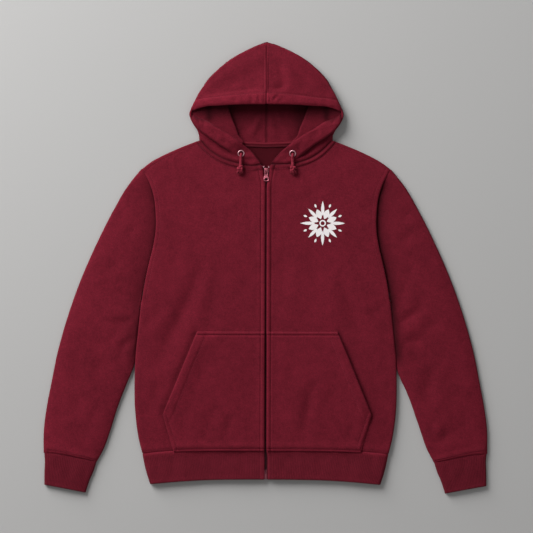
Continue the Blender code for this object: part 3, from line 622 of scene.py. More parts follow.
def yarn(name, colour, scale=1500, rough=.75, sheen=.06):
    """Thread or cord: fine twisted fibres."""
    net = Net(name)
    at = net.place()
    fine = net.noise(at, scale, 3.0, .7)
    slow = net.noise(at, 160, 2.0)
    bright = net.math('ADD', .78, net.math('MULTIPLY', fine, .34))
    bright = net.math('ADD', bright, net.math('MULTIPLY', net.math('SUBTRACT', slow, .5), .25))
    # painted shade and painted light from the mesh darken or lighten the yarn's colour
    net.put(net.shader.inputs["Base Color"], net.scaled(
        tuple(colour), net.math('MULTIPLY', bright, net.tone())))
    s = net.shader.inputs
    s["Roughness"].default_value = rough
    s["Specular IOR Level"].default_value = .12
    s["Sheen Weight"].default_value = sheen
    s["Sheen Tint"].default_value = (.95, .45, .52, 1)
    net.bump(fine, .5, .0003)
    return net.mat


def metal(name, colour, rough=.30, worn=.12, metallic=1.0):
    """Tinted zip metal with soft wear and fine scratches."""
    net = Net(name)
    at = net.place()
    slow = net.noise(at, 420, 3.0, .6)
    fine = net.noise(at, 3200, 2.0, .6)
    wear = net.node("MapRange", Value=slow, i1=.42, i2=.72, i3=0.0, i4=worn * 2)
    pale = tuple(min(1, c * 1.25 + .12) for c in colour) + (1,)
    net.put(net.shader.inputs["Base Color"], net.mix(wear, tuple(colour) + (1,), pale))
    s = net.shader.inputs
    s["Metallic"].default_value = metallic
    net.put(s["Roughness"], net.math('MULTIPLY_ADD', slow, .22, rough - .11))
    net.bump(net.math('ADD', fine, slow), .12, .0001)
    return net.mat


BURGUNDY = (.1260, .0083, .0178)
M_FLEECE = jersey("burgundy_fleece_face", BURGUNDY)
M_INSIDE = jersey("burgundy_fleece_inside", (.110, .0062, .0135), knit=.2, pile=.9, grain=.22)
M_RIB = jersey("burgundy_rib_knit", (.116, .0084, .0172), mottle=.16, knit=.8, grain=.36, pile=.35)
M_TAPE = twill("burgundy_tape_twill", (.080, .0055, .0120))
M_NECK = twill("neck_tape_twill", (.122, .0072, .0158), pitch=.0013, sheen=.0)
M_THREAD = yarn("burgundy_thread", (.190, .0150, .0310), rough=.6)
M_CORD = yarn("burgundy_cord_braid", (.168, .0112, .0240), scale=1100)
M_METAL = metal("tinted_metal_satin", (.45, .125, .165), .44, worn=.08)
M_RING = metal("eyelet_metal_satin", (.64, .36, .405), .50, worn=.15)
M_TEETH = metal("zip_teeth_tinted", (.090, .020, .028), .48, worn=.08, metallic=.6)


# ------------------------------------------------------------ body panels
C_SIDE, C_ARM, C_SHOULDER = Curve(SIDE_EDGE), Curve(ARMHOLE), Curve(SHOULDER)
C_EDGE, C_NECK, C_NECK_BACK = Curve(FRONT_EDGE), Curve(NECK_FRONT), Curve(NECK_BACK)


# the pocket's opening edge and the edge below it
POCKET = Curve([(140.4, -128), (158.0, -170), (175.2, -212), (192.8, -255), (209.0, -294.5)])
POCKET_LOW = Curve([(209.0, -294.5), (198.0, -330), (187.6, -361.6)])


LEAN = 3.4              # the pockets sit this far to the wearer's left


def from_zip(x):
    """Distance from the middle, as the pocket tables count it."""
    return np.abs(x) - LEAN * np.where(x > 0, 1.0, -1.0)


def pocket_outer(y):
    """How far out the pocket reaches at height y of the plan."""
    return np.interp(-y, [128, 170, 212, 255, 294.5, 330, 361.6, 372],
                     [140, 158, 175.2, 192.8, 209, 198, 187.6, 184])


def hem_seam(x):
    return -366.8 - 7.4 * (np.abs(x) / 245.8) ** 4


def join_at(first, second, t):
    t = np.asarray(t, float)
    return np.where((t <= 1)[..., None], first(np.minimum(t, 1)), second(np.maximum(t - 1, 0)))


def inner_front(p):
    return join_at(C_EDGE, C_NECK, p)


def inner_back(p):
    p = np.asarray(p, float)
    up = np.stack([0 * p, -364.2 + (241.5 + 364.2) * np.clip(p, 0, 1)], -1)
    return np.where((p <= 1)[..., None], up, C_NECK_BACK(np.maximum(p - 1, 0)))


def outer(q):
    return join_at(C_SIDE, C_ARM, q)


def panel_plan(rows, inner, S, J):
    """Plan places at shares across S and rows J of a half panel."""
    k = np.arange(len(rows))
    p = np.interp(J, k, [r[0] for r in rows])
    q = np.interp(J, k, [r[1] for r in rows])
    x0 = float(inner(0.0)[..., 0])

    def bottom(s):
        x = x0 + (245.8 - x0) * np.asarray(s, float)
        return np.stack([x, hem_seam(x)], -1)
    s, t = S[..., None], (J / (len(rows) - 1))[..., None]
    c00, c10, c01, c11 = bottom(0.0), bottom(1.0), C_SHOULDER(0.0), C_SHOULDER(1.0)
    return ((1 - t) * bottom(S) + t * C_SHOULDER(S) + (1 - s) * inner(p) + s * outer(q)
            - ((1 - s) * (1 - t) * c00 + s * (1 - t) * c10 + (1 - s) * t * c01 + s * t * c11))


def even_rows(rows, inner, step, low, high, fine=1.1, band=14):
    """Row places a step apart along the panel's middle, closer by both ends; low and
    high are how far the sheet stops short of its seams."""
    J = np.linspace(0, len(rows) - 1, 1500)
    p = panel_plan(rows, inner, np.full(J.shape, .55), J)
    run = np.concatenate([[0], np.cumsum(np.hypot(*np.diff(p, axis=0).T))])
    want = stations([low, low + band, run[-1] - high - band, run[-1] - high], [fine, step, fine])
    return np.interp(want, run, J)


def rolled(d, r=EDGE_R):
    """Rise of a quarter round at distance d from its outer edge."""
    d = np.clip(d, .34, r)
    return np.sqrt(r ** 2 - (r - d) ** 2)


# troughs of the body, columns as in crease()
BODY_CREASES = [
    (204, 258, 153, 372, 15, 2.3, 5), (338, 268, 366, 340, 13, 1.9, -5),
    (224, 262, 205, 326, 16, .7, -3), (312, 250, 318, 320, 18, .6, 2),
    (146, 330, 168, 300, 9, .7, 1), (142, 420, 168, 372, 12, .7, -2),
    (388, 420, 372, 372, 12, .6, 2), (386, 300, 368, 318, 8, .6, 1),
    (158, 196, 186, 214, 13, .7, -2), (377, 200, 352, 216, 13, .7, 2),
    (206, 186, 232, 200, 12, .6, 2), (328, 184, 302, 202, 12, .6, -2),
    (244, 196, 256, 262, 10, .4, 2), (287, 240, 279, 330, 10, .4, -2),
    (168, 236, 176, 290, 16, .5, 2), (364, 238, 356, 270, 14, .4, -2)]
PLACKET = 8.4          # topstitching line from the zip edge


def seam_line(d, at, deep=.45, w=.8):
    """A stitched line pressed into the cloth at distance at from a seam."""
    return -deep * bell(d - at, w)


def arm_low(y):
    """Where the sleeve lies lower than the body at the armhole, 0 to 1."""
    return ease((188 - y) / 46)


def dip(x):
    """The neck seam hangs a little on the wearer's right (mm)."""
    return 3.4 * bell(x + 29, 17)


def front_height(x, y, cloth=True):
    """Middle surface of the front panels. x carries the side."""
    a = np.abs(x)
    d_side, d_sh = C_SIDE.away(a, y), C_SHOULDER.away(a, y)
    d = np.minimum(d_side, d_sh)
    d_arm = C_ARM.away(a, y)
    d_neck = C_NECK.away(a, y)
    d_zip = C_EDGE.away(a, y)
    d_hem = y - hem_seam(a)
    z = EDGE_Z + rolled(d)
    body = np.minimum(np.minimum(d, d_hem + 6), d_neck + 8)
    z += 1.7 * (1 - np.exp(-body / 24))
    # armhole: a puffed rim that drops into the seam
    arm = (y > -72) * 1.0
    lit = np.where(x < 0, 1.0, .1)
    z += 2.5 * lit * (1 - np.exp(-d_arm / 11)) * np.exp(-d_arm / 80) * ease((y + 110) / 80)
    z -= 1.5 * arm * bell(d_arm, 1.7)
    z += arm * seam_line(d_arm, 8.6, .3, .9)
    z += .35 * bell(d_side - 7, 5) * (1 - arm)
    # neck seam: turned allowance, stitched down
    z += 2.0 * bell(d_neck - 4.8, 2.8) - 1.6 * bell(d_neck, 1.5) + seam_line(d_neck, 8.6, .9, 1.2)
    # placket beside the zip
    by_pull = bell(y - 184, 15)
    z += 1.15 * ease(d_zip / 2.2) * (1 - ease((d_zip - 5.4) / 3.6)) * (1 - .85 * by_pull)
    z += -.9 * bell(d_zip, 1.6) - .6 * by_pull * bell(d_zip, 5)
    z += seam_line(d_zip, PLACKET, .75, .95) + .25 * bell(d_zip - 12, 2.6)
    # shoulder seam
    z += seam_line(d_sh, 7.5, .35, .9) * (y > 190)
    # hem: gathered into the band
    z += .9 * bell(d_hem - 9, 8) + .5 * bell(d_hem - 1.1, 1.5) - .1 * bell(d_hem, .9)
    z += seam_line(d_hem, 4.5, .42, 1.1)
    # the cloth gives way beside the pocket's opening and rises above its top seam
    aside = from_zip(x)
    d_open = POCKET.away(aside, y)
    outside = aside > pocket_outer(y) - 1
    z += -1.5 * bell(d_open - 1.0, 6.5) * outside * ease((d_side - 6) / 12)
    if cloth:
        gather = noise(x, 0 * y, 15, 21) + .6 * noise(x, 0 * y, 7, 22)
        z += .32 * gather * bell(d_hem - 6, 13) * ease(d_hem / 4)
        keep = ease(d / 14) * ease((d_zip - 3) / 10 + .15)
        z += 1.25 * crease(x, y, BODY_CREASES) * keep
        z += 1.25 * rumple(x, y, 3) * keep
        side = np.where(x > 0, 1.0, -1.0)
        pucker = noise(y * 1.0, 3.0 + 0 * x + side, 13, 31)
        z += .22 * pucker * bell(d_zip - 13, 9)
        z += .25 * noise(x * .5 + y, 0 * y, 12, 33) * bell(d_neck - 12, 10)
    return z


def flip_x(P, side):
    P = P.copy()
    P[..., 0] *= side
    return P


FRONT_J = even_rows(FRONT_ROWS, inner_front, 3.4, .7, 1.0)
across = stations([0, 16, 228, 241.5, 244], [.95, 3.5, 1.3, .7]) / 244.3


def front_grid(side):
    S, J = np.meshgrid(across, FRONT_J, indexing="ij")
    p = J
    inset = np.where(np.interp(p, [0, 1, 2], [0, 0, 0]) >= 0, 1, 1)
    # keep clear of the neck, zip and armhole by the cloth's own rounded edge
    start = 1.35 / 244
    stop = 1 - np.where(J > 5, 1.35, .42) / 244
    S2 = start + (stop - start) * S * inset
    q = panel_plan(FRONT_ROWS, inner_front, S2, J)
    x, y = q[..., 0] * side, q[..., 1]
    z = front_height(x, y)
    return np.stack([x, y, z], -1)


for word, side in (("left", 1), ("right", -1)):
    P = front_grid(side)
    flat = np.stack([np.abs(P[..., 0]), P[..., 1]], -1)
    d_zip = C_EDGE.away(flat[..., 0], flat[..., 1])
    thick = FLEECE + 1.6 * (1 - ease((d_zip - 3) / 5)) * (P[..., 1] < 204) * (
        1 - .9 * bell(P[..., 1] - 184, 15))
    # shade where the pocket hangs over
    a, y = flat[..., 0], flat[..., 1]
    edge_x = pocket_outer(y)
    a = a - LEAN * side
    beside = np.maximum(a - edge_x, 0)
    shade = 1 - (.40 if side > 0 else .34) * np.exp(-beside / 6) * (a > edge_x - 4) * (
        y < -126) * ease((y + 366) / 20)
    d_neck = C_NECK.away(flat[..., 0], y)
    # painted shade along the neck seam under the hood's edge, with a dark painted line beside the stitching
    shade *= 1 - .22 * np.exp(-d_neck / 9) - .70 * np.exp(-d_neck / 2.0) - (
        .34 if side < 0 else .2) * bell(d_neck - 9.4, 1.6)
    P[..., 1] -= dip(P[..., 0]) * np.exp(-(d_neck / 14) ** 2)
    ob = shell("front_" + word + "_cloth", P, thick, M_FLEECE, uv=flat, flip=side < 0, tone=shade,
               nodes=["front_" + word], slot="burgundy_fleece")


# ridges of the back as it lies; from behind they are its troughs. Columns as in crease()
BACK_FOLDS = [
    (330, 232, 392, 338, 17, -2.2, 8), (196, 246, 150, 352, 15, -1.9, -6), (300, 262, 262, 396, 20, -1.3, 10),
    (222, 300, 232, 420, 16, -1.4, -5), (352, 350, 344, 436, 13, -1.5, 3), (168, 400, 186, 440, 10, -1.1, 2),
    (246, 196, 204, 216, 14, -1.0, 3), (292, 190, 340, 212, 15, -1.1, -3), (390, 300, 366, 330, 10, -.9, 2),
    (286, 330, 306, 372, 14, -.8, -2), (150, 300, 176, 286, 10, -.8, 2), (264, 214, 270, 268, 16, -.8, 2)]


def back_height(x, y):
    a = np.abs(x)
    d = np.minimum(C_SIDE.away(a, y), C_SHOULDER.away(a, y))
    z = EDGE_Z - rolled(d)
    inside = bell(np.hypot(x, (y - 200) * .9), 70)
    z = z + .5 * (noise(x, y, 30, 51) + .5) * inside * ease((236 - y) / 12)
    folds = -1.25 * crease(x, y, BACK_FOLDS) + .9 * np.maximum(noise(x, y, 46, 52), 0)
    z = z + np.clip(folds, 0, 4) * ease((d - 6) / 16) * ease((y + 352) / 20) * ease((222 - y) / 40)
    return np.maximum(z, BACK_MID)


BACK_J = even_rows(BACK_ROWS, inner_back, 6.0, 1.35, 1.0, 1.6)
half = stations([0, 120, 228, 241.5, 244], [5.0, 7.0, 2.2, .8]) / 244.3
S, J = np.meshgrid(np.concatenate([-half[:0:-1], half]), BACK_J, indexing="ij")
stop = 1 - np.where(J > 5, 1.35, .42) / 244
q = panel_plan(BACK_ROWS, inner_back, np.abs(S) * stop, J)
# the sheet meets itself on the centre line
x = q[..., 0] * np.sign(S)
mid = np.abs(S) < 1e-9
x = np.where(mid, 0, x)
y = np.where(mid, np.minimum(q[..., 1], inner_back(1.0)[1]), q[..., 1]) - .9 * np.exp(-J / .02)
P = np.stack([x, y, back_height(x, y)], -1)
# painted shade over the inside of the back where it shows in the neck opening
shade = 1 - .58 * ease((85 - np.abs(x)) / 25) * ease((P[..., 1] - 140) / 30)
ob = shell("back_cloth", P, FLEECE, M_INSIDE, uv=P[..., :2].copy(), tone=shade, nodes=["back"],
           slot="burgundy_fleece")
# its inside faces are the grid's first
ob.data.materials.append(M_FLEECE)
count = (P.shape[0] - 1) * (P.shape[1] - 1)
ob.data.polygons.foreach_set("material_index", (np.arange(len(ob.data.polygons)) >= count) * 1)


# ------------------------------------------------------------ pockets
POCKET_CREASES = [
    (309, 384, 304, 440, 10, 1.5, 2), (316, 372, 313, 412, 9, .6, -1),
    (232, 412, 222, 446, 10, 1.0, 2), (240, 424, 236, 446, 8, .6, -1),
    (214, 404, 206, 440, 12, .8, 2), (205, 350, 196, 384, 13, .7, 2),
    (226, 345, 238, 360, 12, .5, 2), (330, 350, 342, 384, 12, .6, -2),
    (292, 352, 286, 396, 12, .5, 2), (352, 420, 350, 442, 8, .5, 1),
    (182, 424, 186, 442, 8, .5, 1), (276, 350, 280, 440, 12, .35, -2)]


def pocket_edge(y):
    """Outer limit of the pocket at height y of the plan."""
    rows = POCKET_ROWS[::-1]
    return np.interp(y, [r[0] for r in rows], [r[1] for r in rows])


def pocket_height(x, y, cloth=True):
    a = np.abs(x)
    z = front_height(x, y, False) + FLEECE + .15
    d_zip = C_EDGE.away(a, y)
    # the placket runs on over the pocket, so its shape is carried through
    d_top = -128 - y
    d_open = POCKET.away(from_zip(x), y)
    d_low = POCKET_LOW.away(from_zip(x), y)
    d_hem = y - hem_seam(a)
    lift = ease(1 - (d_open - 2) / 46) * ease((d_low - 4) / 22) * ease((d_top - 4) / 26)
    z += 2.3 * lift
    z += 1.0 * (1 - np.exp(-np.minimum(np.minimum(d_top, d_low), d_hem + 3) / 16))
    # hem of the opening, stitched 17 mm in
    z += .75 * ease(d_open / 1.6) * (1 - ease((d_open - 13) / 6)) + seam_line(d_open, 19.2, .5, 1.0)
    z += -.9 * bell(d_open, 1.3) - 1.2 * bell(d_low, 1.6) - 1.0 * bell(d_top, 1.3)
    z += .6 * bell(d_top - 3.6, 2.4) + seam_line(d_top, 7.4, 1.1, 1.3) + .4 * bell(d_top - 11.5, 2.5)
    z += .45 * bell(d_low - 4.0, 2.8) + seam_line(d_low, 8.0, .5, .9)
    z += .9 * bell(d_hem - 9, 8) - .3 * bell(d_hem, 4.5) + .6 * bell(d_hem - 1.2, 1.5)
    z += seam_line(d_hem, 4.5, .42, 1.1)
    if cloth:
        keep = ease(d_top / 18) * ease((d_zip - 9) / 8) * ease(np.minimum(d_open, d_low) / 9 + .1)
        z += (1.3 * crease(x, y, POCKET_CREASES) + 1.3 * rumple(x, y, 8)) * keep
        z += .3 * noise(x, 0 * y, 14, 24) * bell(d_hem - 6, 13)
    return z


ys = stations([-128 - 1.0, -139, -284, -300, -352, -362.4], [1.0, 3.2, 1.6, 3.0, 1.2])
for word, side in (("left", 1), ("right", -1)):
    limit = pocket_edge(ys)
    s = stations([0, 12, 186, 203, 206], [1.1, 3.6, 1.2, .8]) / 206
    S, Y = np.meshgrid(s, ys, indexing="ij")
    x0 = 3.3
    X = x0 + (pocket_edge(Y) + LEAN * side - 1.1 - x0) * S
    hem = hem_seam(X) + .8
    Y = np.where(Y < -300, -300 + (Y + 300) * ((hem + 300) / (-362.4 + 300)), Y)
    X = X * side
    P = np.stack([X, Y, pocket_height(X, Y)], -1)
    shell("pocket_" + word + "_cloth", P, 2.3, M_FLEECE, uv=np.stack([np.abs(X), Y], -1),
          flip=side > 0, nodes=["pocket_" + word], slot="burgundy_fleece")


# ------------------------------------------------------------ sleeves, cuffs, hem band
def turns(r, zc, n=7, up=False):
    """A half round as (distance from the edge, height), from below to above."""
    out = []
    for k in range(n):
        a = -pi / 2 + pi * k / (n - 1)
        out.append((r - r * cos(a), zc + r * sin(a)))
    return out[::-1] if up else out


def tube_grid(start, end, edge0, edge1, low, high, upper, lower, T):
    """Grid round a flat-lying tube: outer edge, over the top, inner edge, underneath.
    Also gives each point's distance from the two edges and 1 for the upper layer."""
    r, zc = (high - low) / 2, (high + low) / 2
    marks = ([(0, d, z, .5) for d, z in turns(r, zc)]
             + [(2, f, high, 1.0) for f in upper]
             + [(1, d, z, .5) for d, z in turns(r, zc, up=True)]
             + [(2, f, low, 0.0) for f in lower])
    a, b = edge0(T), edge1(T)
    width = np.hypot(a[:, 0] - b[:, 0], a[:, 1] - b[:, 1])
    S = np.empty((len(marks), len(T)))
    Z, LAY = np.empty_like(S), np.empty_like(S)
    for i, (mark, d, z, lay) in enumerate(marks):
        if mark == 0:
            S[i] = d / width
        elif mark == 1:
            S[i] = 1 - d / width
        else:
            S[i] = (r + (width - 2 * r) * d) / width
        Z[i], LAY[i] = z, lay
    TT = np.broadcast_to(T, S.shape)
    P = coons(start, end, edge0, edge1, S, TT)
    return P, Z, S, width, LAY, TT


def sleeve_start(s):
    s = np.asarray(s, float)
    p = C_ARM(1 - s)
    gap = .75 + 2.3 * ease((s - .93) / .06) + .15 * ease((.03 - s) / .03)
    return np.stack([p[..., 0] + gap, p[..., 1] - .12], -1)


def to_tuple(p):
    return tuple(float(v) for v in np.ravel(p))


C_SL_OUT = Curve([to_tuple(sleeve_start(0))] + SLEEVE_OUTER[1:])
C_SL_IN = Curve([to_tuple(sleeve_start(1))] + SLEEVE_INNER[1:])
C_SL_END = Curve(SLEEVE_END)
BODY_LINE = np.concatenate([C_SIDE.p, C_ARM.p])
order = np.argsort(BODY_LINE[:, 1])
BODY_Y, BODY_X = BODY_LINE[order, 1], BODY_LINE[order, 0]

# sleeve creases by picture side: columns as in crease()
CREASES_LEFT = [
    (134, 305, 112, 290, 8, 1.5, -4), (135, 318, 104, 322, 8, 1.9, 5),
    (135, 326, 108, 338, 9, 1.5, -5), (134, 334, 116, 350, 9, 1.0, 3),
    (124, 338, 116, 366, 8, .7, 2), (132, 290, 118, 276, 9, .7, 2),
    (121, 262, 100, 270, 11, .7, 3), (108, 250, 118, 222, 12, .6, 2),
    (84, 330, 100, 352, 13, .6, 4), (72, 352, 84, 392, 13, .6, 3),
    (88, 392, 70, 420, 12, .6, -3), (98, 404, 84, 440, 10, .6, 2),
    (60, 424, 74, 450, 10, .5, 2), (136, 224, 124, 240, 9, .7, 2),
    (104, 222, 92, 258, 13, .5, -3), (126, 196, 116, 226, 12, .5, 2),
    (92, 374, 110, 360, 9, .5, 2), (56, 396, 62, 440, 10, .4, 1)]
CREASES_RIGHT = [
    (397, 322, 424, 304, 9, 2.0, -4), (401, 344, 428, 340, 10, 1.3, 5),
    (398, 300, 414, 276, 9, .9, 3), (436, 362, 424, 412, 15, 1.5, -6),
    (437, 446, 456, 428, 11, 1.5, 3), (404, 224, 412, 206, 10, 1.0, 2),
    (394, 240, 416, 232, 10, .9, -3), (398, 286, 420, 262, 10, .7, 3),
    (440, 386, 462, 372, 12, .7, 3), (446, 350, 462, 384, 12, .5, 2),
    (420, 362, 410, 344, 8, .7, 2), (418, 322, 440, 330, 11, .6, 4),
    (430, 292, 444, 320, 13, .5, -3), (470, 400, 462, 440, 12, .5, -2),
    (428, 424, 436, 446, 8, .8, 2), (424, 250, 436, 282, 13, .4, 2),
    (468, 424, 478, 448, 9, .4, 1)]


# and below: ridges that show as troughs from behind
UNDER_FOLDS = {
    -1: [(134, 300, 96, 316, 9, -1.5, 4), (130, 330, 92, 330, 9, -1.3, -5), (122, 352, 84, 372, 10, -1.1, 4),
         (98, 240, 116, 290, 13, -1.0, -4), (60, 400, 76, 446, 11, -1.0, 3), (104, 396, 96, 442, 9, -.8, -2),
         (132, 214, 104, 236, 11, -.8, 3), (72, 340, 66, 380, 10, -.7, 2)],
    1: [(398, 312, 436, 322, 9, -1.6, -4), (402, 334, 432, 352, 9, -1.2, 5), (414, 362, 446, 374, 10, -1.1, -4),
        (440, 262, 424, 306, 12, -1.0, 4), (466, 402, 452, 448, 11, -1.1, -3), (428, 400, 438, 440, 9, -.8, 2),
        (396, 220, 424, 246, 12, -.8, -3), (462, 336, 470, 380, 10, -.6, 2)]}


NEAR_Y = [-330, -317, -299, -263, -245, -228, -210, -200, -190, -180, -160, -130, -100, -70, -60, -40]
NEAR_BODY = {1: [0, 0, 1.2, 1.6, 2.2, 3.8, 5.2, 4.6, 3.4, 2.2, 1.4, 2.4, 1.9, .7, .6, 0],
             -1: [0, 0, 0, 0, .3, .6, 1.5, 2.8, 2.8, 2.1, 1.4, 2.4, 1.9, .7, .6, 0]}


def sleeve_grid(side, T, upper, lower):
    end = lambda s: C_SL_END(s) + np.array([0, 1.45])
    P, Z, S, width, LAY, TT = tube_grid(sleeve_start, end, C_SL_OUT, C_SL_IN,
                                        BACK_MID, SLEEVE_MID, upper, lower, T)
    x, y = P[..., 0], P[..., 1] + 1.3 * (1 - ease((1 - TT) * 600 / 40)) * 0
    # beside the body, never across it
    room = 1.2 + .1 * ease((-25 - y) / 40) + 40 * (1 - S) * np.minimum(TT / .1, 1)
    limit = np.interp(y, BODY_Y, BODY_X) + room
    hold = (TT > 0) & (y <= 185)
    x = np.where(hold, np.maximum(x, limit), x)
    d_out, d_in = S * width, (1 - S) * width
    # the inner edge lies against the body down to where the two part
    near = np.interp(y, NEAR_Y, NEAR_BODY[side])
    x = x - near * np.exp(-d_in / 15) * hold
    d_arm = C_ARM.away(x, y)
    d_end = (1 - TT) * C_SL_OUT.length
    k = ease((192 - y) / 40)
    edge = ease(d_in / 12) * ease(d_out / 8)
    z_low = SLEEVE_MID + (4.25 * k + 6.2 * (1 - k) - SLEEVE_MID) * edge
    crown = 3.4 * (1 - np.exp(-np.maximum(d_out - 2, 0) / 15)) * (
        1 - np.exp(-np.maximum(d_in - 2, 0) / 15))
    X = x * side
    fold = crease(X, y, CREASES_RIGHT if side > 0 else CREASES_LEFT)
    fold = 1.3 * fold
    soft = 1.3 * rumple(X, y, 12 + side) + .15 * noise(X, y, 24, 19)
    keep = ease(np.minimum(d_out, d_in + 5) / 11) * ease(d_end / 12)
    top = SLEEVE_MID + crown + (fold + soft) * keep
    rise = 1 - np.exp(-(d_arm / (34 - 14 * (1 - k))) ** 1.35)
    top = z_low + (top - z_low) * rise
    # gathered over the cuff, with its stitched allowance
    top += 1.0 * bell(d_end - 9, 8) - .9 * bell(d_end, 2.0) + seam_line(d_end, 5.0, .8, 1.0)
    top += .35 * noise(d_out, 0 * y, 12, 44 + side) * bell(d_end - 8, 12)
    top = np.maximum(top, 3.95)
    # painted shade on the sleeves along the armhole and beside the body's edge, stronger on the wearer's left
    # where the body's shadow falls
    shade = 1 - (.46 * np.exp(-d_arm / 17) + .44 * np.exp(-d_arm / 9) if side > 0 else
                 .34 * np.exp(-d_arm / 13) + .28 * np.exp(-d_arm / 6)) * k * ease((y + 90) / 60)
    beside = np.maximum(x - np.interp(y, BODY_Y, BODY_X), 0)
    shade = shade * (1 - (.80 * bell(beside, 12.5) if side > 0 else .34 * bell(beside, 23))
                     * ease((-20 - y) / 60) * ease((y + 208) / 36))
    under = -1.3 * crease(X, y, UNDER_FOLDS[side]) + 1.0 * np.maximum(noise(X, y, 34, 61), 0)
    low = np.maximum(BACK_MID + np.clip(under, 0, 3.2) * keep * ease(d_out / 20) * ease(
        d_in / 14), BACK_MID)
    z = np.where(LAY == 1.0, top, np.where(LAY == 0.0, np.minimum(low, top - 2.6), Z))
    # the turned edges keep their round, eased to the layers they join
    shade = np.where(LAY > 0, shade, 1.0)
    return np.stack([X, y, z], -1), shade, TT


upper = stations([0, .06, .94, 1], [.02, .0185, .02])[1:-1]
lower = np.linspace(1, 0, 17)[1:-1]
T_SL = stations([0, 10, 560, 591, 606.5], [2.0, 3.0, 2.4, 1.3]) / 606.5
for word, side in (("left", 1), ("right", -1)):
    P, shade, TT = sleeve_grid(side, T_SL, upper, lower)
    uv = np.stack([np.cumsum(np.concatenate([np.zeros((1, P.shape[1])), np.linalg.norm(
        np.diff(P, axis=0), axis=-1)]), 0), TT * 606.5], -1)
    y, a = P[..., 1], np.abs(P[..., 0])
    shell("sleeve_" + word + "_cloth", P, FLEECE, M_FLEECE, wrap=True, uv=uv, flip=side < 0,
          tone=shade,
          nodes=["sleeve_" + word], slot="burgundy_fleece")


def ribs(run, along, pitch, amp, seed=0):
    """Knitted ribs: rounded ridges at an even pitch, a little uneven along them."""
    wave = np.cos(2 * pi * (run + .35 * noise(run, along, 26, seed)) / pitch)
    return amp * (.5 + .5 * np.sign(wave) * np.abs(wave) ** .8)


C_CU_IN, C_CU_OUT = Curve(CUFF_INNER), Curve(CUFF_OUTER)
C_CU_END, C_CU_START = Curve(CUFF_END), Curve(CUFF_START)
T_CU = stations([0, 5, 59, 64], [1.2, 3.2, 1.4]) / 64
for word, side in (("left", 1), ("right", -1)):
    flats = (np.arange(130) + .5) / 130
    shift = np.array([0, -1.35])
    P, Z, S, width, LAY, TT = tube_grid(
        lambda s: C_CU_START(s) + shift, lambda s: C_CU_END(s) - shift, C_CU_OUT, C_CU_IN,
        RIB / 2, CUFF_MID, flats, flats[::-1], T_CU)
    d_out, d_in = S * width, (1 - S) * width
    d_top, d_end = TT * 64, (1 - TT) * 64
    X, y = P[..., 0] * side, P[..., 1]
    crown = 1.9 * (1 - np.exp(-np.maximum(np.minimum(d_out, d_in) - 2, 0) / 11))
    wave = .5 * noise(X, y, 30, 71 + side) + .3 * noise(X, y, 15, 72) - .5 * bell(d_top, 3)
    wave += crease(X, y, [(70, 462, 66, 482, 8, .6, 1), (54, 458, 57, 474, 6, .4, 1),
                          (86, 466, 82, 484, 6, .5, -1), (462, 458, 466, 480, 8, .6, 1),
                          (446, 464, 451, 484, 7, .6, -1), (476, 458, 474, 476, 6, .4, 1)])
    top = CUFF_MID + crown + wave * ease(np.minimum(d_out, d_in) / 8)
    top += -.5 * bell(d_top, 2.0) + .3 * bell(d_end - 2, 3)
    z = np.where(LAY == 1.0, np.maximum(top, 4.2), Z)
    P = np.stack([X, y, z], -1)
    run = np.cumsum(np.concatenate([np.zeros((1, P.shape[1])), np.linalg.norm(
        np.diff(P, axis=0), axis=-1)]), 0)
    mean = run.mean(1, keepdims=True)
    total = mean[-1, 0]
    count = round(total / 3.25)
    relief = ribs(mean + 0 * run, d_top, total / count, .50) - .05
    relief *= np.where(Z < 1.3, .0, 1.0)
    # painted shade in the troughs between the ribs
    tone = 1 - .22 * (1 - (relief + .05) / .50)
    shell("cuff_" + word + "_cloth", P, RIB - .3, M_RIB, wrap=True, flip=side < 0, relief=relief,
          tone=tone, uv=np.stack([mean + 0 * run, TT * 64], -1),
          nodes=["cuff_" + word], slot="burgundy_rib")


# one grid for the band: from the zip on one side, round both layers, to the other
C_HEM_END = Curve(HEM_END)
hem_bottom = lambda s: np.stack([3.3 + 241.3 * np.asarray(s, float),
                                 hem_seam(3.3 + 242.5 * np.asarray(s, float)) + .8], -1)
hem_top = lambda s: C_HEM_END(s) + np.array([0, 1.25])
C_HEM_OUT = Curve([to_tuple(hem_bottom(1.0))] + HEM_EDGE[1:-1] + [(229.3, -432.7)])
T_HEM = stations([0, 6, 52, 57.5], [1.0, 4.0, 1.4]) / 57.5


def hem_grid():
    front = stations([0, 6, 236, 241.5], [1.0, .95, .9])
    half = [(0, f / 244.6, 1.0) for f in front]
    half += [(1, d, z) for d, z in turns(EDGE_R, EDGE_Z, 9, up=True)]
    half += [(0, f, 0.0) for f in np.linspace(.985, 0, 170)]
    x0 = lambda t: np.stack([3.3 + 0 * t, hem_bottom(0.0)[1] + (hem_top(0.0)[1]
                                                               - hem_bottom(0.0)[1]) * t], -1)
    S, Z, L = [], [], []
    for mark, d, v in half:
        if mark == 1:
            S.append(1 - d / 241)
            Z.append(v)
            L.append(.5)
        else:
            S.append(min(d, .9885))
            Z.append(FRONT_MID if v else BACK_MID)
            L.append(v)
    S, Z, L = (np.array(v)[:, None] + 0 * T_HEM[None, :] for v in (S, Z, L))
    TT = np.broadcast_to(T_HEM, S.shape)
    P = coons(hem_bottom, hem_top, x0, C_HEM_OUT, S, TT)
    # the back runs on to the centre line
    x, y = P[..., 0].copy(), P[..., 1]
    back = L == 0.0
    x = np.where(back, 3.3 + (x - 3.3) - 3.3 * (1 - S), x)
    return x, y, Z, L, TT, S


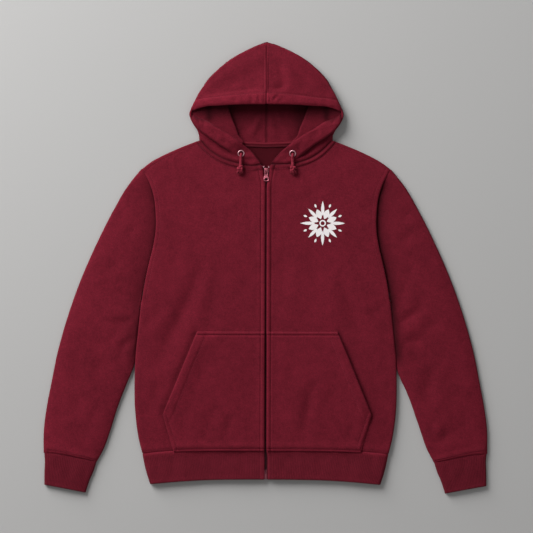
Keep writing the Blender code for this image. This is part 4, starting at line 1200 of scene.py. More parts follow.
x, y, Z, L, TT, S = hem_grid()
both = []
for side in (1, -1):
    # the closed zip leaves a gap that widens below the seam
    open_gap = bell(x - 3.3, 7) * ease(TT * 57.5 / 16) * (L == 1.0)
    X = x * side + (2.3 if side > 0 else .5) * open_gap
    d_top, d_end = TT * 57.5, (1 - TT) * 57.5
    d_zip, d_side = x - 3.3, 244 - x
    z = Z.copy()
    swell = 1.3 * (1 - np.exp(-np.maximum(d_side - 4, 0) / 14))
    wave = .55 * noise(X, y, 46, 81) + .35 * noise(X, y, 21, 82) + .2 * noise(X, 0 * y, 11, 83)
    wave += crease(X, y, [(172, 456, 178, 478, 9, .8, 1), (212, 456, 208, 476, 8, .6, -1),
                          (240, 458, 244, 476, 8, .5, 1), (286, 458, 283, 476, 8, .6, -1),
                          (318, 456, 322, 478, 10, .8, 1), (352, 458, 349, 478, 8, .7, -1),
                          (374, 456, 371, 474, 7, .5, 1), (156, 458, 160, 474, 6, .5, 1)])
    top = FRONT_MID + swell + wave * ease(d_side / 12) * ease((d_zip + 2) / 8)
    top += -.3 * bell(d_top, 2.0) + .35 * bell(d_end - 2.5, 3) - .5 * bell(d_zip, 1.6)
    top += .8 * bell(d_top, 7) - .2 + 1.6 * d_top / 57.5 * ease(d_side / 14)
    top += seam_line(d_zip, PLACKET - .8, .7, 1.0)
    z = np.where(L == 1.0, top, z)
    both.append(np.stack([X, y, z], -1))
P = np.concatenate([both[0], both[1][-2::-1]], 0)
run = np.cumsum(np.concatenate([np.zeros((1, P.shape[1])), np.linalg.norm(
    np.diff(P, axis=0), axis=-1)]), 0)
mean = run.mean(1, keepdims=True)
relief = ribs(mean + 0 * run, np.concatenate([TT, TT[-2::-1]]) * 57.5, mean[-1, 0] / round(
    mean[-1, 0] / 3.4), .52, 3) - .05
under = np.concatenate([Z, Z[-2::-1]], 0) < 1.3
relief = np.where(under, 0, relief)
plain = ease((9.0 - (np.abs(P[..., 0]) - 3.3)) / 1.5) * ~under
relief = relief * (1 - plain) + .35 * plain
# painted shade in the troughs between the ribs, and painted light over the whole band, strongest along its top
# seam
tone = (1 - .22 * (1 - (relief + .05) / .52) * ~under) * (
    1.06 + .55 * bell(np.concatenate([TT, TT[-2::-1]]) * 57.5, 4.2))
shell("hem_band_cloth", P, RIB - .3, M_RIB, flip=True, relief=relief, tone=tone,
      uv=np.stack([mean + 0 * run, np.concatenate([TT, TT[-2::-1]]) * 57.5], -1),
      nodes=["hem_band"], slot="burgundy_rib")


# ------------------------------------------------------------ hood
MOUTH = [r[0:2] for r in HOOD_RIBS]
SIDE = {w: [(r[3] + m[0], r[4] + m[1]) for r, m in zip(HOOD_RIBS, SIDE_MOVES[w])] for w in (-1, 1)}
REST = [(r[2],) + tuple(r[5:]) for r in HOOD_RIBS]
# fold line under the front band, by side (mm)
BAND_LINE = {-1: [(62, 218), (67, 226.5), (73.5, 234.5), (84, 241.5), (96, 249.2), (108, 257.8),
                  (119.5, 267), (129, 274.6), (137.4, 282.8), (144, 291), (148.4, 299),
                  (149.6, 306.5), (147.6, 314)],
             1: [(54, 212), (61, 219), (71, 228), (83.5, 238.5), (97, 249), (114.5, 260), (126, 268.6),
                 (134, 275.4), (141, 283), (146.8, 291), (150, 299), (150.6, 307), (148.4, 315)]}
HOOD_CREASES = [
    (240, 66, 214, 88, 12, .3, 3), (286, 80, 272, 95, 7, 1.0, 2), (279, 56, 278.5, 93, 9, 1.0, 1),
    (270, 70, 274, 80, 6, .7, 1), (288, 66, 322, 92, 15, .5, 5),
    (252, 78, 250, 92, 10, .35, 1), (300, 74, 306, 92, 14, .45, -2),
    (334, 84, 322, 92, 8, .5, 2), (214, 84, 206, 94, 9, .4, 2)]
BAND_CREASES = [
    (248, 96, 252, 103, 4, .8, 1), (257, 95, 260, 104, 3.4, .9, -1),
    (262, 96, 264, 103, 3, .7, 0), (271, 101, 280, 96, 4, 1.0, 1),
    (276, 103, 284, 99, 3.6, .8, 1), (268, 96, 270, 103, 2.6, .7, 0),
    (292, 96, 298, 102, 5, .4, 1), (236, 96, 233, 103, 5, .4, 0),
    (212, 98, 206, 105, 6, .4, 0), (322, 99, 328, 105, 6, .5, 0),
    (193.4, 115.5, 197.2, 119.5, 2.4, 1.3, 0), (196.5, 119, 199.5, 124.5, 2.8, 1.2, 0),
    (201, 120.5, 204, 127, 3.4, 1.0, 1), (203, 116, 211, 126, 4.5, 1.2, 1), (200, 109, 196, 114, 4, .5, -1),
    (337.6, 116, 334.4, 119.5, 2.4, 1.2, 0), (334, 119, 331, 124.5, 2.8, 1.1, 0),
    (337, 112, 331, 121, 4, .7, -1), (330, 110, 326, 121, 4.5, 1.3, 1), (309, 148.5, 303, 157, 4, 1.4, 1),
    (242, 157.5, 255, 164.6, 4.4, 2.8, 2), (275, 164, 287, 160.5, 4, 1.6, 1), (210, 131, 218, 140, 7, .7, 2),
    (222, 134, 230, 147, 6, .6, -2), (228, 141, 232, 152, 5, .6, 1),
    (236, 144, 228, 150, 4, .4, 1), (328, 120, 322, 131, 6, .6, 1),
    (318, 126, 310, 140, 7, .7, 2), (304, 136, 298, 148, 6, .6, -1),
    (296, 142, 300, 152, 4, .4, 0), (252, 156, 246, 163, 5, .5, 1),
    (278, 157, 284, 163, 5, .5, -1), (250, 161, 240, 164, 3.5, .6, 0),
    (283, 161, 291, 164, 3.5, .6, 0), (216, 147, 226, 157, 6, .9, 2),
    (221, 145, 230, 155, 4, .8, -1), (315, 149, 305, 158, 7, .6, 2),
    (205, 136, 214, 148, 5, .5, 1), (327, 138, 318, 149, 5, .6, -1)]
HOOD_STEPS = [(274, 54, 196, 97, 15, 3.8, 150)]
# soft ridges that fan out on the inside of the back
INSIDE_RIDGES = [
    (262, 112, 244, 139, 7, -1.1, 2), (258, 118, 252, 140, 5, -.8, 0), (270, 112, 276, 140, 6, -1.0, -1),
    (276, 112, 292, 139, 7, -1.1, -2), (262, 116, 262, 141, 4, -.6, 0),
    (284, 116, 300, 134, 6, -.8, 1), (248, 114, 236, 134, 6, -.8, -1)]


def row_smooth(points, t):
    """Smooth curve through the points, by row number."""
    i = min(int(t), len(points) - 2)
    f = t - i
    p0 = points[i - 1] if i else points[0]
    p1, p2 = points[i], points[i + 1]
    p3 = points[i + 2] if i + 2 < len(points) else p2
    return [.5 * (2 * b + (c - a) * f + (2 * a - 5 * b + 4 * c - d) * f * f
                  + (3 * b - a - 3 * c + d) * f ** 3)
            for a, b, c, d in zip(p0, p1, p2, p3)]


def row_even(rows, t):
    i = min(int(t), len(rows) - 2)
    f = t - i
    return [a + (b - a) * f for a, b in zip(rows[i], rows[i + 1])]


def bow(curve, t):
    """How far a neck curve bows from a straight line at share t."""
    p = curve(t)
    a, b = curve(0.0), curve(1.0)
    return p - a - (b - a) * t


C_BACK_IN = Curve(NECK_BACK[::-1])
# stations down a rib: stretch, place in it, place in the plain half round (4 to 18)
def hood_stations():
    out = [("top", f, 4) for f in stations([0, .10, .42, .96], [.014, .0205, .025])]
    for a in np.linspace(90, -90, 8):
        out.append(("outer1", a, 4 + 4 * (90 - a) / 180))
    for g in np.linspace(0, 1, 18)[1:-1]:
        out.append(("in1", g, 8 + 2 * g))
    for a in np.linspace(90, -90, 6):
        out.append(("fold", a, 10 + 2 * (90 - a) / 180))
    for g in np.linspace(0, 1, 12)[1:-1]:
        out.append(("in2", g, 12 + 2 * g))
    for a in np.linspace(90, -90, 6):
        out.append(("outer2", a, 14 + 4 * (90 - a) / 180))
    for f in np.linspace(0, 1, 34)[1:]:
        out.append(("floor", f, 18))
    return out


HOOD_ST = hood_stations()


def hood_rib(u, side_word):
    """Points of one rib, and for each its distance from the mouth along the rib (mm)."""
    mx, my = row_smooth(MOUTH, u)
    sx, sy = row_smooth(SIDE[side_word], u)
    mz, sz, tx, ty, cy, pull = row_smooth(REST, u)
    if not 2 < u < 13.5:
        mz, sz, tx, ty, cy, pull = row_even(REST, u)
    # the tucks don't reach equally far on the two sides
    tx += (10.5 if side_word > 0 else 4.0) * float(ease((u - 1.2) / 1.5) * ease((12.5 - u) / 3))
    tx = min(tx, sx)
    if u >= 14:
        mx = sx = tx = .3
    near = float(ease(1 - u))
    my += 1.55 * near
    sx, sy = sx + (.6 if side_word > 0 else 2.0) * near, sy - .2 * near
    floor_end = Vector((.3, cy + 1.55 * near))
    mouth, side = Vector((mx, my)), Vector((sx, sy))
    tuck = Vector((tx, ty))
    reach = (tuck - side).length if u > 1 else 0.0
    inward = (tuck - side).normalized() if reach > 6 else (floor_end - side).normalized()
    fold = float(ease(reach / 22))
    reach = max(reach, 9)
    half, zmid = (sz - HOOD_FLOOR) / 2, (sz + HOOD_FLOOR) / 2
    low = HOOD_FLOOR + (TUCK_LOW - HOOD_FLOOR) * (sz - HOOD_FLOOR) / (12.4 - HOOD_FLOOR)
    high = HOOD_FLOOR + (TUCK_HIGH - HOOD_FLOOR) * (sz - HOOD_FLOOR) / (12.4 - HOOD_FLOOR)
    r1, r2, r3 = (sz - high) / 2, (high - low) / 2, (low - HOOD_FLOOR) / 2
    to_mouth = (mouth - side).normalized()
    start = side + to_mouth * (r1 * fold + half * (1 - fold))
    start_low = side + (floor_end - side).normalized() * (r3 * fold + half * (1 - fold))
    span = (mouth - start).length
    out, info = [], []
    for stretch, f, k in HOOD_ST:
        if stretch == "top":
            f0 = 2.1 * float(ease((u - .4) / 1.6)) / span
            f = f0 + (1 - f0) * f
            p = mouth + (start - mouth) * f
            q = bow(C_NECK, f)
            p = p + Vector((q[0], q[1])) * pull
            out.append((p.x, p.y, sz + (mz - sz) * (1 - f ** 1.7)))
            info.append((f * span, 0))
            continue
        if stretch == "floor":
            p = start_low + (floor_end - start_low) * f
            q = bow(C_BACK_IN, f)
            p = p + Vector((q[0], q[1])) * near
            out.append((p.x, p.y, HOOD_FLOOR))
            info.append((span + 60, 2))
            continue
        a = pi / 2 - pi * (k - 4) / 14
        plain = Vector((half - half * cos(a), zmid + half * sin(a)))
        t = radians(f) if stretch in ("outer1", "outer2", "fold") else 0
        if stretch == "outer1":
            tucked = Vector((r1 - r1 * cos(t), (sz + high) / 2 + r1 * sin(t)))
        elif stretch == "outer2":
            tucked = Vector((r3 - r3 * cos(t), (low + HOOD_FLOOR) / 2 + r3 * sin(t)))
        elif stretch == "fold":
            tucked = Vector((reach - r2 + r2 * cos(t), (high + low) / 2 + r2 * sin(t)))
        elif stretch == "in1":
            tucked = Vector((r1 + (reach - r2 - r1) * f, high))
        else:
            tucked = Vector((reach - r2 + (r3 - reach + r2) * f, low))
        d, z = plain.lerp(tucked, fold)
        way = inward
        if stretch == "outer1":
            way = inward.lerp(to_mouth, max(f, 0) / 90)
        if stretch == "outer2":
            way = inward.lerp((floor_end - side).normalized(), max(-f, 0) / 90)
        p = side + way * d
        out.append((p.x, p.y, z))
        info.append((span + 10, 1))
    return out, info


def hood_rows():
    """Rib places about 3 mm apart along the hood's widest run."""
    t = np.linspace(0, 14, 600)
    side = np.array([row_smooth(SIDE[1], v) for v in t])
    mouth = np.array([row_smooth(MOUTH, v) for v in t])
    step = np.maximum(np.hypot(*np.diff(side, axis=0).T), np.hypot(*np.diff(mouth, axis=0).T))
    run = np.concatenate([[0], np.cumsum(step)])
    want = stations([0, 8, run[-1] - 12, run[-1]], [1.3, 2.75, 1.5])
    return np.interp(want, run, t)


HOOD_U = hood_rows()
LAST_TOP = sum(1 for st in HOOD_ST if st[0] == "top") - 1
IS_IN = np.array([st[0] in ("in1", "fold", "in2") for st in HOOD_ST])


def signed_away(x, y, line):
    """Distance from a line, above 0 on its left, and the share along it."""
    best = np.full(np.shape(x), 1e9)
    sign, along = np.ones(np.shape(x)), np.zeros(np.shape(x))
    line = np.asarray(line, float)
    for k, ((ax, ay), (bx, by)) in enumerate(zip(line[:-1], line[1:])):
        dx, dy = bx - ax, by - ay
        f = np.clip(((x - ax) * dx + (y - ay) * dy) / (dx * dx + dy * dy), 0, 1)
        d = np.hypot(x - ax - f * dx, y - ay - f * dy)
        near = d < best
        sign = np.where(near, np.sign(dx * (y - ay) - dy * (x - ax)), sign)
        along = np.where(near, (k + f) / (len(line) - 1), along)
        best = np.where(near, d, best)
    return best * np.where(sign == 0, 1, sign), along


HEM_W = 22.6            # width of the stitched hem round the mouth


def hood_shape(side):
    done = [hood_rib(float(u), side) for u in HOOD_U]
    P = np.array([r[0] for r in done])
    HOOD_D = np.array([[i[0] for i in r[1]] for r in done])
    HOOD_L = np.array([[i[1] for i in r[1]] for r in done])
    P[..., 0] += .5 * np.exp(-np.maximum(P[..., 0] - .3, 0) / 9)
    x, y, z = P[..., 0].copy(), P[..., 1].copy(), P[..., 2].copy()
    top = HOOD_L == 0
    X = x * side
    u = HOOD_U[:, None] + 0 * x
    d = HOOD_D
    seam_mid = x - .8
    # the front band stands over the part that joins the neck
    C_B = Curve(BAND_LINE[side], 60)
    dB, along = signed_away(x, y, C_B.p)
    k = ease(along / .19) * top
    low_part = ease((6.2 - u) / 2.6)
    turn_in = ease((8.9 - u) / 1.4) * ease((1 - along) / .12)
    band = ease((dB + .6) / 3.2) * np.exp(-(np.maximum(dB - 20, 0) / 16) ** 2)
    drop = bell(np.minimum(dB + 1.2, 0), 4.8) * ease((2.0 - dB) / 2.4)
    z += k * (4.6 * low_part * band - 3.0 * turn_in * drop)
    dx, dy = .62, -.78
    push = 2.6 * k * low_part * bell(dB - 1.8, 2.4)
    x += dx * push * top
    y += dy * push * top
    # hem round the mouth: puffed, with a double row of stitching
    hem = np.clip(d / HEM_W, 0, 1)
    fore = ease((u - 6.5) / 2.5) * top
    z += top * ease((u - .3) / 1.2) * (.9 * np.sin(pi * hem) ** .7 * (d < HEM_W)) * fore
    z += fore * (-.95 * bell(d - HEM_W, 1.5) + .35 * bell(d - HEM_W - 6, 4) - .25 * bell(d - HEM_W + 3, .8))
    # the mouth's edge turns down a little
    z += -1.1 * bell(d, 4.5) * top * ease((u - .5) / 1.5)
    corner = ease((u - 4.3) / 1.5) * ease((7.6 - u) / .8) * top
    z += -4.6 * corner * bell(d, 11)
    # a fold runs round the corner just inside the outline
    e = d[:, [LAST_TOP]] - d
    rim = ease((u - 4.2) / 1.2) * ease((8.8 - u) / 1.0) * top * bell(e - 2.2, 1.3)
    z += -.8 * rim
    lip = np.array([row_smooth(MOUTH, v) for v in np.linspace(3.6, 7.9, 60)])
    near_lip = np.abs(signed_away(x, y, lip)[0])
    by_corner = ease((x - 112) / 20) * ease((7.6 - u) / .5)
    z += -3.2 * by_corner * np.exp(-near_lip / 6) * top
    # the centre seam with a row of stitches on each side
    z += top * (-.6 * bell(seam_mid, 1.2) + .2 * bell(seam_mid - 2.4, 2.0)
                + seam_line(seam_mid, 4.2, .45, .8)) * (u > 9)
    # painted shade in the centre seam and along its stitching
    painted_seam_shade = (1 - .12 * bell(seam_mid - 4.2, .9) * (u > 9)) * (1 - .22 * bell(seam_mid, 1.1) * top)
    keep = top * ease(seam_mid / 3) * ease((d - HEM_W - 1) / 8 * fore + (1 - fore))
    far = ease(HOOD_D / 12)
    away_side = ease((1 - np.clip(d / np.maximum(d[:, [LAST_TOP]], 1), 0, 1)) * 6 + .15)
    z += keep * (1.7 * crease(X, y, HOOD_CREASES) + drop_off(X, y, HOOD_STEPS)) * away_side
    z += 1.3 * top * crease(X, y, BAND_CREASES) * ease(u / .8) * ease(d / 2.5 + .2)
    z += top * ease(seam_mid / 3) * ease(u / 1.5) * 1.1 * rumple(X, y, 41) * away_side
    # neck seam
    dn = C_NECK.away(x, y)
    z += top * (u < 3) * (1.3 * bell(dn - 6.5, 4.5) - 1.2 * bell(dn, 2.0))
    # pressed in about the eyelet
    r = np.hypot(x - EYELET_X - side, y - EYELET_Y)
    pit = top * bell(r, 3.7)
    z += -3.2 * pit - .5 * top * bell(r, 8)
    # inside of the back and the tucks
    floor_part = HOOD_L == 2
    ridge = 1.8 * crease(X, y, INSIDE_RIDGES) + .5 * noise(X, y, 26, 47)
    z = np.where(floor_part, np.maximum(HOOD_FLOOR, z + np.clip(ridge, 0, 9) * ease((x - 2) / 6)
                                        * ease((y - 252) / 12) * ease((102 - x) / 30)), z)
    z = np.where(HOOD_L == 1, z + .0 * x, z)
    # painted shade in the hole under the eyelet
    tone = (1 - .95 * top * ease((4.4 - r) / .8)) * painted_seam_shade
    # painted shade along the stitched edge of the hem over the forehead
    tone = tone * np.where(fore > 0, 1 - .22 * bell(d - HEM_W, 1.1) * fore, 1)
    # painted shade in the groove under the front band, deeper at two places
    deep = k * turn_in * bell(np.where(dB > 0, dB * 2.4, dB + .6), 2.5)
    deep *= .8 + .35 * (bell(np.hypot(X + 104, y - 253), 12) + bell(np.hypot(X - 104, y - 251), 22))
    tone = tone * (1 - .60 * np.clip(deep, 0, 1.3))
    # painted shade: the corner of the mouth lies in the hem's own shade, the fold round the corner is darkened,
    # and so is the lower mouth's edge
    tone = tone * (1 - .62 * by_corner * np.exp(-near_lip / 6.5) * top) * (1 - .64 * rim)
    tone = tone * (1 - .55 * np.exp(-d / 1.3) * ease((7.8 - u) / .6) * top)
    # less light on the crown beside the centre seam
    tone = tone * (1 - .11 * ease((34 - X) / 30) * ease((y - 346) / 40) * top)
    # painted shade at the neck seam under the hood, and on the lower band near the mouth's edge
    tone = tone * (1 - .62 * np.exp(-np.maximum(dn, 0) / 2.2) * top * (u < 3))
    tone = tone * (1 - .16 * ease((12 - d) / 10) * ease((u - 1.2) / 2) * ease((6.8 - u) / 1.5) * top)
    # painted light on the hem round the forehead
    tone = tone * (1 + .14 * (1 - ease((d - HEM_W + 2) / 3)) * fore)
    hem_here = (1 - ease((d - HEM_W + 1) / 2.5)) * fore + (1 - fore) * (
        ease((dB - .5) / 2) * k + (1 - k) * (1 - ease((d - 16) / 16)))
    thick = HOOD_CLOTH + 2.6 * np.clip(hem_here, 0, 1) * top * ease((u - .4) / 1.6) * ease(seam_mid / 4)
    # painted shade: the inside lies in shade, darkest along its centre seam, with a painted light line beside
    # it
    back_in = HOOD_L == 2
    shade_in = (.46 + .44 * ease((316 - y) / 52)) * (.55 + .45 * ease((70 - x) / 30))
    shade_in = shade_in * (1 - .34 * bell(x - .8, 1.3) + .14 * bell(x - 3.8, 1.6))
    tone = np.where(back_in, shade_in, tone)
    # painted shade on the tucks, darker towards the forehead and in a band down each, with painted light where
    # the lip turns in by the corner
    tuck = IS_IN[None, :] & (u > 1)
    hollow = 1 - .6 * bell(x - (120 if side > 0 else 115), 7) * ease((y - 286) / 14)
    into = ease((x - 118) / 12) * np.exp(-np.maximum(near_lip - 1, 0) / 7) * ease((318 - y) / 10)
    tone = np.where(tuck, .86 * (.40 + .60 * ease((316 - y) / 30)) * hollow + .16 * into, tone)
    y = y - 2.9 * ease((252 - y) / 8) * (HOOD_L == 2)
    y = y - (dip(-x) if side < 0 else 0) * ease((1.3 - u) / 1.3) * (HOOD_L == 0)
    P = np.stack([x * side, y, z], -1)
    return P, thick, tone


for word, side in (("left", 1), ("right", -1)):
    P, thick, tone = hood_shape(side)
    run = np.cumsum(np.concatenate([np.zeros((P.shape[0], 1)), np.linalg.norm(
        np.diff(P, axis=1), axis=-1)], 1), 1)
    long = np.cumsum(np.concatenate([[0], np.linalg.norm(np.diff(P[:, 20], axis=0), axis=-1)]))
    shell("hood_" + word + "_cloth", P, thick, M_FLEECE, flip=side < 0, tone=tone,
          uv=np.stack([long[:, None] + 0 * run, run], -1),
          nodes=["hood_" + word], slot="burgundy_fleece")


# ------------------------------------------------------------ cloth surface to lay things on
def tree_of(*names):
    verts, faces, base = [], [], 0
    for n in names:
        v, f = BUILT[n]
        verts.append(v)
        faces += (np.asarray(f) + base).tolist()
        base += len(v)
    return BVHTree.FromPolygons(np.concatenate(verts).tolist(), faces)


TOP = tree_of("front_left_cloth", "front_right_cloth", "pocket_left_cloth", "pocket_right_cloth",
              "hood_left_cloth", "hood_right_cloth", "sleeve_left_cloth", "sleeve_right_cloth",
              "hem_band_cloth", "cuff_left_cloth", "cuff_right_cloth")


def top_at(x, y, tree=None):
    hit = (tree or TOP).ray_cast(Vector((x, y, 60)), Vector((0, 0, -1)))
    return (hit[0].z, hit[1]) if hit[0] is not None else (None, None)


def height_near(x, y, r=2.4):
    """Highest cloth within r of a place."""
    best = -9
    for k in range(8):
        for f in (0, .5, 1):
            z = top_at(x + r * f * cos(k * pi / 4), y + r * f * sin(k * pi / 4))[0]
            best = max(best, z if z is not None else -9)
    return best


# ------------------------------------------------------------ small solid parts
def plate(outlines, half, bevel, res=2):
    """Points (mm) and faces of a flat plate with rounded edges, from closed outlines (mm)."""
    cu = bpy.data.curves.new("outline", 'CURVE')
    cu.dimensions = '2D'
    cu.fill_mode = 'BOTH'
    cu.extrude = half - bevel
    cu.bevel_depth = bevel
    cu.bevel_resolution = res
    cu.offset = -bevel
    for points in outlines:
        sp = cu.splines.new('POLY')
        sp.points.add(len(points) - 1)
        for pt, (x, y) in zip(sp.points, points):
            pt.co = (x, y, 0, 1)
        sp.use_cyclic_u = True
    ob = bpy.data.objects.new("outline", cu)
    bpy.context.scene.collection.objects.link(ob)
    bpy.context.view_layer.update()
    mesh = bpy.data.meshes.new_from_object(ob.evaluated_get(bpy.context.evaluated_depsgraph_get()))
    verts = np.array([v.co[:] for v in mesh.vertices])
    faces = [tuple(p.vertices) for p in mesh.polygons]
    bpy.data.objects.remove(ob)
    bpy.data.curves.remove(cu)
    bpy.data.meshes.remove(mesh)
    return verts, faces


def moved(part, at=(0, 0, 0), turn=None):
    verts, faces = part
    if turn is not None:
        verts = verts @ np.asarray(turn, float).T
    return verts + np.asarray(at, float), faces


def ellipse(cx, cy, rx, ry, n=28, a0=0.0):
    return [(cx + rx * cos(a0 + 2 * pi * i / n), cy + ry * sin(a0 + 2 * pi * i / n))
            for i in range(n)]


def round_box(x, y, z, r=.35):
    """A box between limits, with its edges rounded."""
    hx, hy = (x[1] - x[0]) / 2, (y[1] - y[0]) / 2
    q = min(r * 1.6, hx * .6, hy * .6)
    pts = []
    for cx, cy, a0 in ((hx - q, hy - q, 0), (q - hx, hy - q, pi / 2), (q - hx, q - hy, pi),
                       (hx - q, q - hy, 3 * pi / 2)):
        pts += [(cx + q * cos(a0 + k * pi / 8), cy + q * sin(a0 + k * pi / 8)) for k in range(5)]
    return moved(plate([pts], (z[1] - z[0]) / 2, r),
                 ((x[0] + x[1]) / 2, (y[0] + y[1]) / 2, (z[0] + z[1]) / 2))


def outward(ob):
    """Turns the faces of closed forms to look out."""
    work = bmesh.new()
    work.from_mesh(ob.data)
    left = set(work.faces)
    while left:
        form, todo = [], [left.pop()]
        while todo:
            face = todo.pop()
            form.append(face)
            for edge in face.edges:
                for other in edge.link_faces:
                    if other in left:
                        left.remove(other)
                        todo.append(other)
        base = form[0].verts[0].co.copy()
        volume = 0
        for face in form:
            p = [v.co - base for v in face.verts]
            volume += sum(p[0].dot(p[i].cross(p[i + 1])) for i in range(1, len(p) - 1))
        if volume < 0:
            bmesh.ops.reverse_faces(work, faces=form)
    work.to_mesh(ob.data)
    work.free()
    return ob


def hard(ob, angle=38):
    ob.data.set_sharp_from_angle(angle=radians(angle))
    return ob


# ------------------------------------------------------------ neck tape and zip tapes
C_BACK = Curve(NECK_BACK)
xs = np.linspace(-67.6, 67.6, 130)
ts = np.linspace(0, 1, 15)
X, Tt = np.meshgrid(xs, ts, indexing="ij")
base_y = C_BACK(np.abs(X) / 131)[..., 1]
Y = base_y + 8.2 - 9.2 * Tt
Zt = 3.45 + 1.25 * bell(Tt - .26, .19) - .25 * bell(Tt - .6, .08) + .10 * noise(X, Y, 9, 91)
P = np.stack([X, Y, Zt], -1)
# painted shade: the tape darker below its raised ridge and darkest at its lower edge
shell("neck_tape_cloth", P, .9, M_NECK, uv=np.stack([X, Y], -1), flip=True,
      tone=(.98 - .34 * ease((Tt - .46) / .14)) * (1 - .55 * ease((Tt - .88) / .06)), nodes=["neck_tape"], slot="burgundy_tape")

for word, side in (("left", 1), ("right", -1)):
    xs = np.array([3.0, 3.35, 4.6, 7, 10, 13.8])
    ys = np.linspace(-422.8, 204.3, 230)
    X, Y = np.meshgrid(xs, ys, indexing="ij")
    Z = 4.8 + .45 * bell(X - 3.3, .7) + .1 * noise(X, Y, 14, 93)
    P = np.stack([X * side, Y, Z], -1)
    shell("zip_tape_" + word + "_cloth", P, .75, M_TAPE, uv=P[..., :2] * np.array([side, 1]),
          flip=side < 0, nodes=["zip_tape_" + word], slot="burgundy_tape")

# ------------------------------------------------------------ teeth, box and stops
SECTION = [(-.58, -.62), (-.38, -1.05), (.38, -1.05), (.58, -.62),
           (.58, .62), (.38, 1.05), (-.38, 1.05), (-.58, .62)]


def tooth(y, side):
    """One moulded tooth: a waist, then a head that hooks past the middle."""
    verts, faces = [], []
    stops = [(3.3, .62), (2.7, 1.0), (.8, .86), (-.1, 1.04), (-.75, .80)]
    for x, f in stops:
        for dy, dz in SECTION:
            verts.append((side * x, y + dy * f * 1.06, 4.3 + dz * f))
    for k in range(len(stops) - 1):
        for i in range(8):
            a, b = k * 8 + i, k * 8 + (i + 1) % 8
            q = (a, b, b + 8, a + 8)
            faces.append(q if side > 0 else q[::-1])
    first, last = tuple(range(8)), tuple(range((len(stops) - 1) * 8, len(stops) * 8))
    faces.append(first[::-1] if side > 0 else first)
    faces.append(last if side > 0 else last[::-1])
    return np.array(verts), faces


PITCH = 2.7
rows = int((188.0 + 411.0) / PITCH)
parts = []
for k in range(rows):
    parts.append(tooth(-410.6 + k * PITCH, 1))
    parts.append(tooth(-410.6 + (k + .5) * PITCH, -1))
v, f = joined(parts)
# painted light: the teeth are given paler values in the open gap of the hem band, where light reaches them; the
# metal finish does not read these values
hard(outward(finish_mesh("zip_teeth", v, f, M_TEETH, shade=np.where(v[:, 1] < -368, 2.2, 1.0),
                         nodes=["zip_chain"], slot="zip_chain_metal")))

box_parts = [round_box((-2.9, 2.9), (-422.6, -412.4), (3.2, 7.0), .5),
             round_box((-2.2, -.5), (-421.2, -405.5), (6.0, 7.6), .4),
             round_box((.7, 2.3), (-415.6, -404.0), (5.6, 7.0), .4)]
v, f = joined(box_parts)
# painted shade over the box's upper end, leaving its lower end bright; the metal finish does not read these
# values
hard(finish_mesh("zip_box_metal", v, f, M_METAL, shade=np.where(v[:, 1] > -414, .07, .9), nodes=["zip_box"],
                 slot="tinted_metal"))
for word, side in (("left", 1), ("right", -1)):
    xs = sorted((side * 3.7, side * 5.9))
    v, f = joined([round_box(xs, (199.7, 201.2), (5.3, 7.8), .4),
                   round_box(xs, (201.5, 203.0), (5.3, 8.0), .4)])
    hard(finish_mesh("zip_stop_" + word + "_metal", v, f, M_RING, nodes=["zip_stop_" + word],
                     slot="tinted_metal"))

# ------------------------------------------------------------ slider
SL_Y = 193.6
wing = [(-2.0, 5.6), (-1.0, 5.75), (1.0, 5.75), (2.0, 5.6), (3.3, 5.2), (4.3, 4.2), (4.6, 2.6),
        (4.55, .4), (4.1, -2.0), (3.8, -4.4), (3.4, -5.4), (2.4, -5.7)]
wing = wing + [(-x, y) for x, y in wing[::-1] if abs(x) > 2.2]
upper_wing = moved(plate([wing], .62, .35, 3), (0, SL_Y, 6.5))
lower_wing = moved(plate([wing], .50, .3, 2), (0, SL_Y, 3.42))
rail_l = moved(round_box((-4.5, -3.9), (-3.6, 3.0), (-.9, .9), .25), (0, SL_Y, 5.7))
rail_r = moved(round_box((3.9, 4.5), (-3.6, 3.0), (-.9, .9), .25), (0, SL_Y, 5.7))
wedge = moved(plate([[(-1.6, 2.2), (1.6, 2.2), (2.0, -.4), (.3, -2.6), (-.3, -2.6), (-2.0, -.4)][::-1]],
                    1.5, .2, 1), (0, SL_Y + 3.0, 5.0))
arch_out = [(-3.6, 0), (-3.55, 2.4), (-2.9, 3.9), (-1.4, 4.55), (1.4, 4.6), (3.3, 4.4), (4.7, 3.6),
            (5.3, 2.2), (5.4, 0)]
arch_in = [(-2.4, 0), (-2.4, 1.9), (-1.9, 2.9), (-1.0, 3.5), (1.4, 3.55), (3.0, 3.4), (3.9, 2.8),
           (4.2, 1.9), (4.2, 0)]
arch = plate([arch_out + arch_in[::-1]], 1.2, .3, 2)
turn = [[0, 0, 1], [1, 0, 0], [0, 1, 0]]      # outline x to Y, outline y to Z
arch = moved(arch, (0, PIVOT_Y - 1.4, 6.95), turn)
v, f = joined([upper_wing, lower_wing, rail_l, rail_r, wedge, arch])
hard(finish_mesh("zip_slider_metal", v, f, M_METAL, nodes=["zip_slider"], slot="tinted_metal"))

# ------------------------------------------------------------ pull tab, which turns on the arch
tab = Curve([(1.1, 2.9), (3.2, 2.7), (3.8, 1.4), (3.8, -1.5), (3.7, -4.8), (3.5, -8.0), (3.4, -10.8),
             (3.8, -13.0), (4.9, -15.2), (5.6, -18.0), (5.1, -20.5), (3.5, -22.1), (0, -22.6)], 60)
right = [to_tuple(tab(t)) for t in np.linspace(0, 1, 44)]
outline = right + [(-x, y) for x, y in right[::-1] if x > .2]
# it bends up a little over the plackets
def bent(part):
    verts, faces = part
    verts = verts.copy()
    verts[:, 2] += 1.5 * ease((-9 - verts[:, 1]) / 9)
    return verts, faces


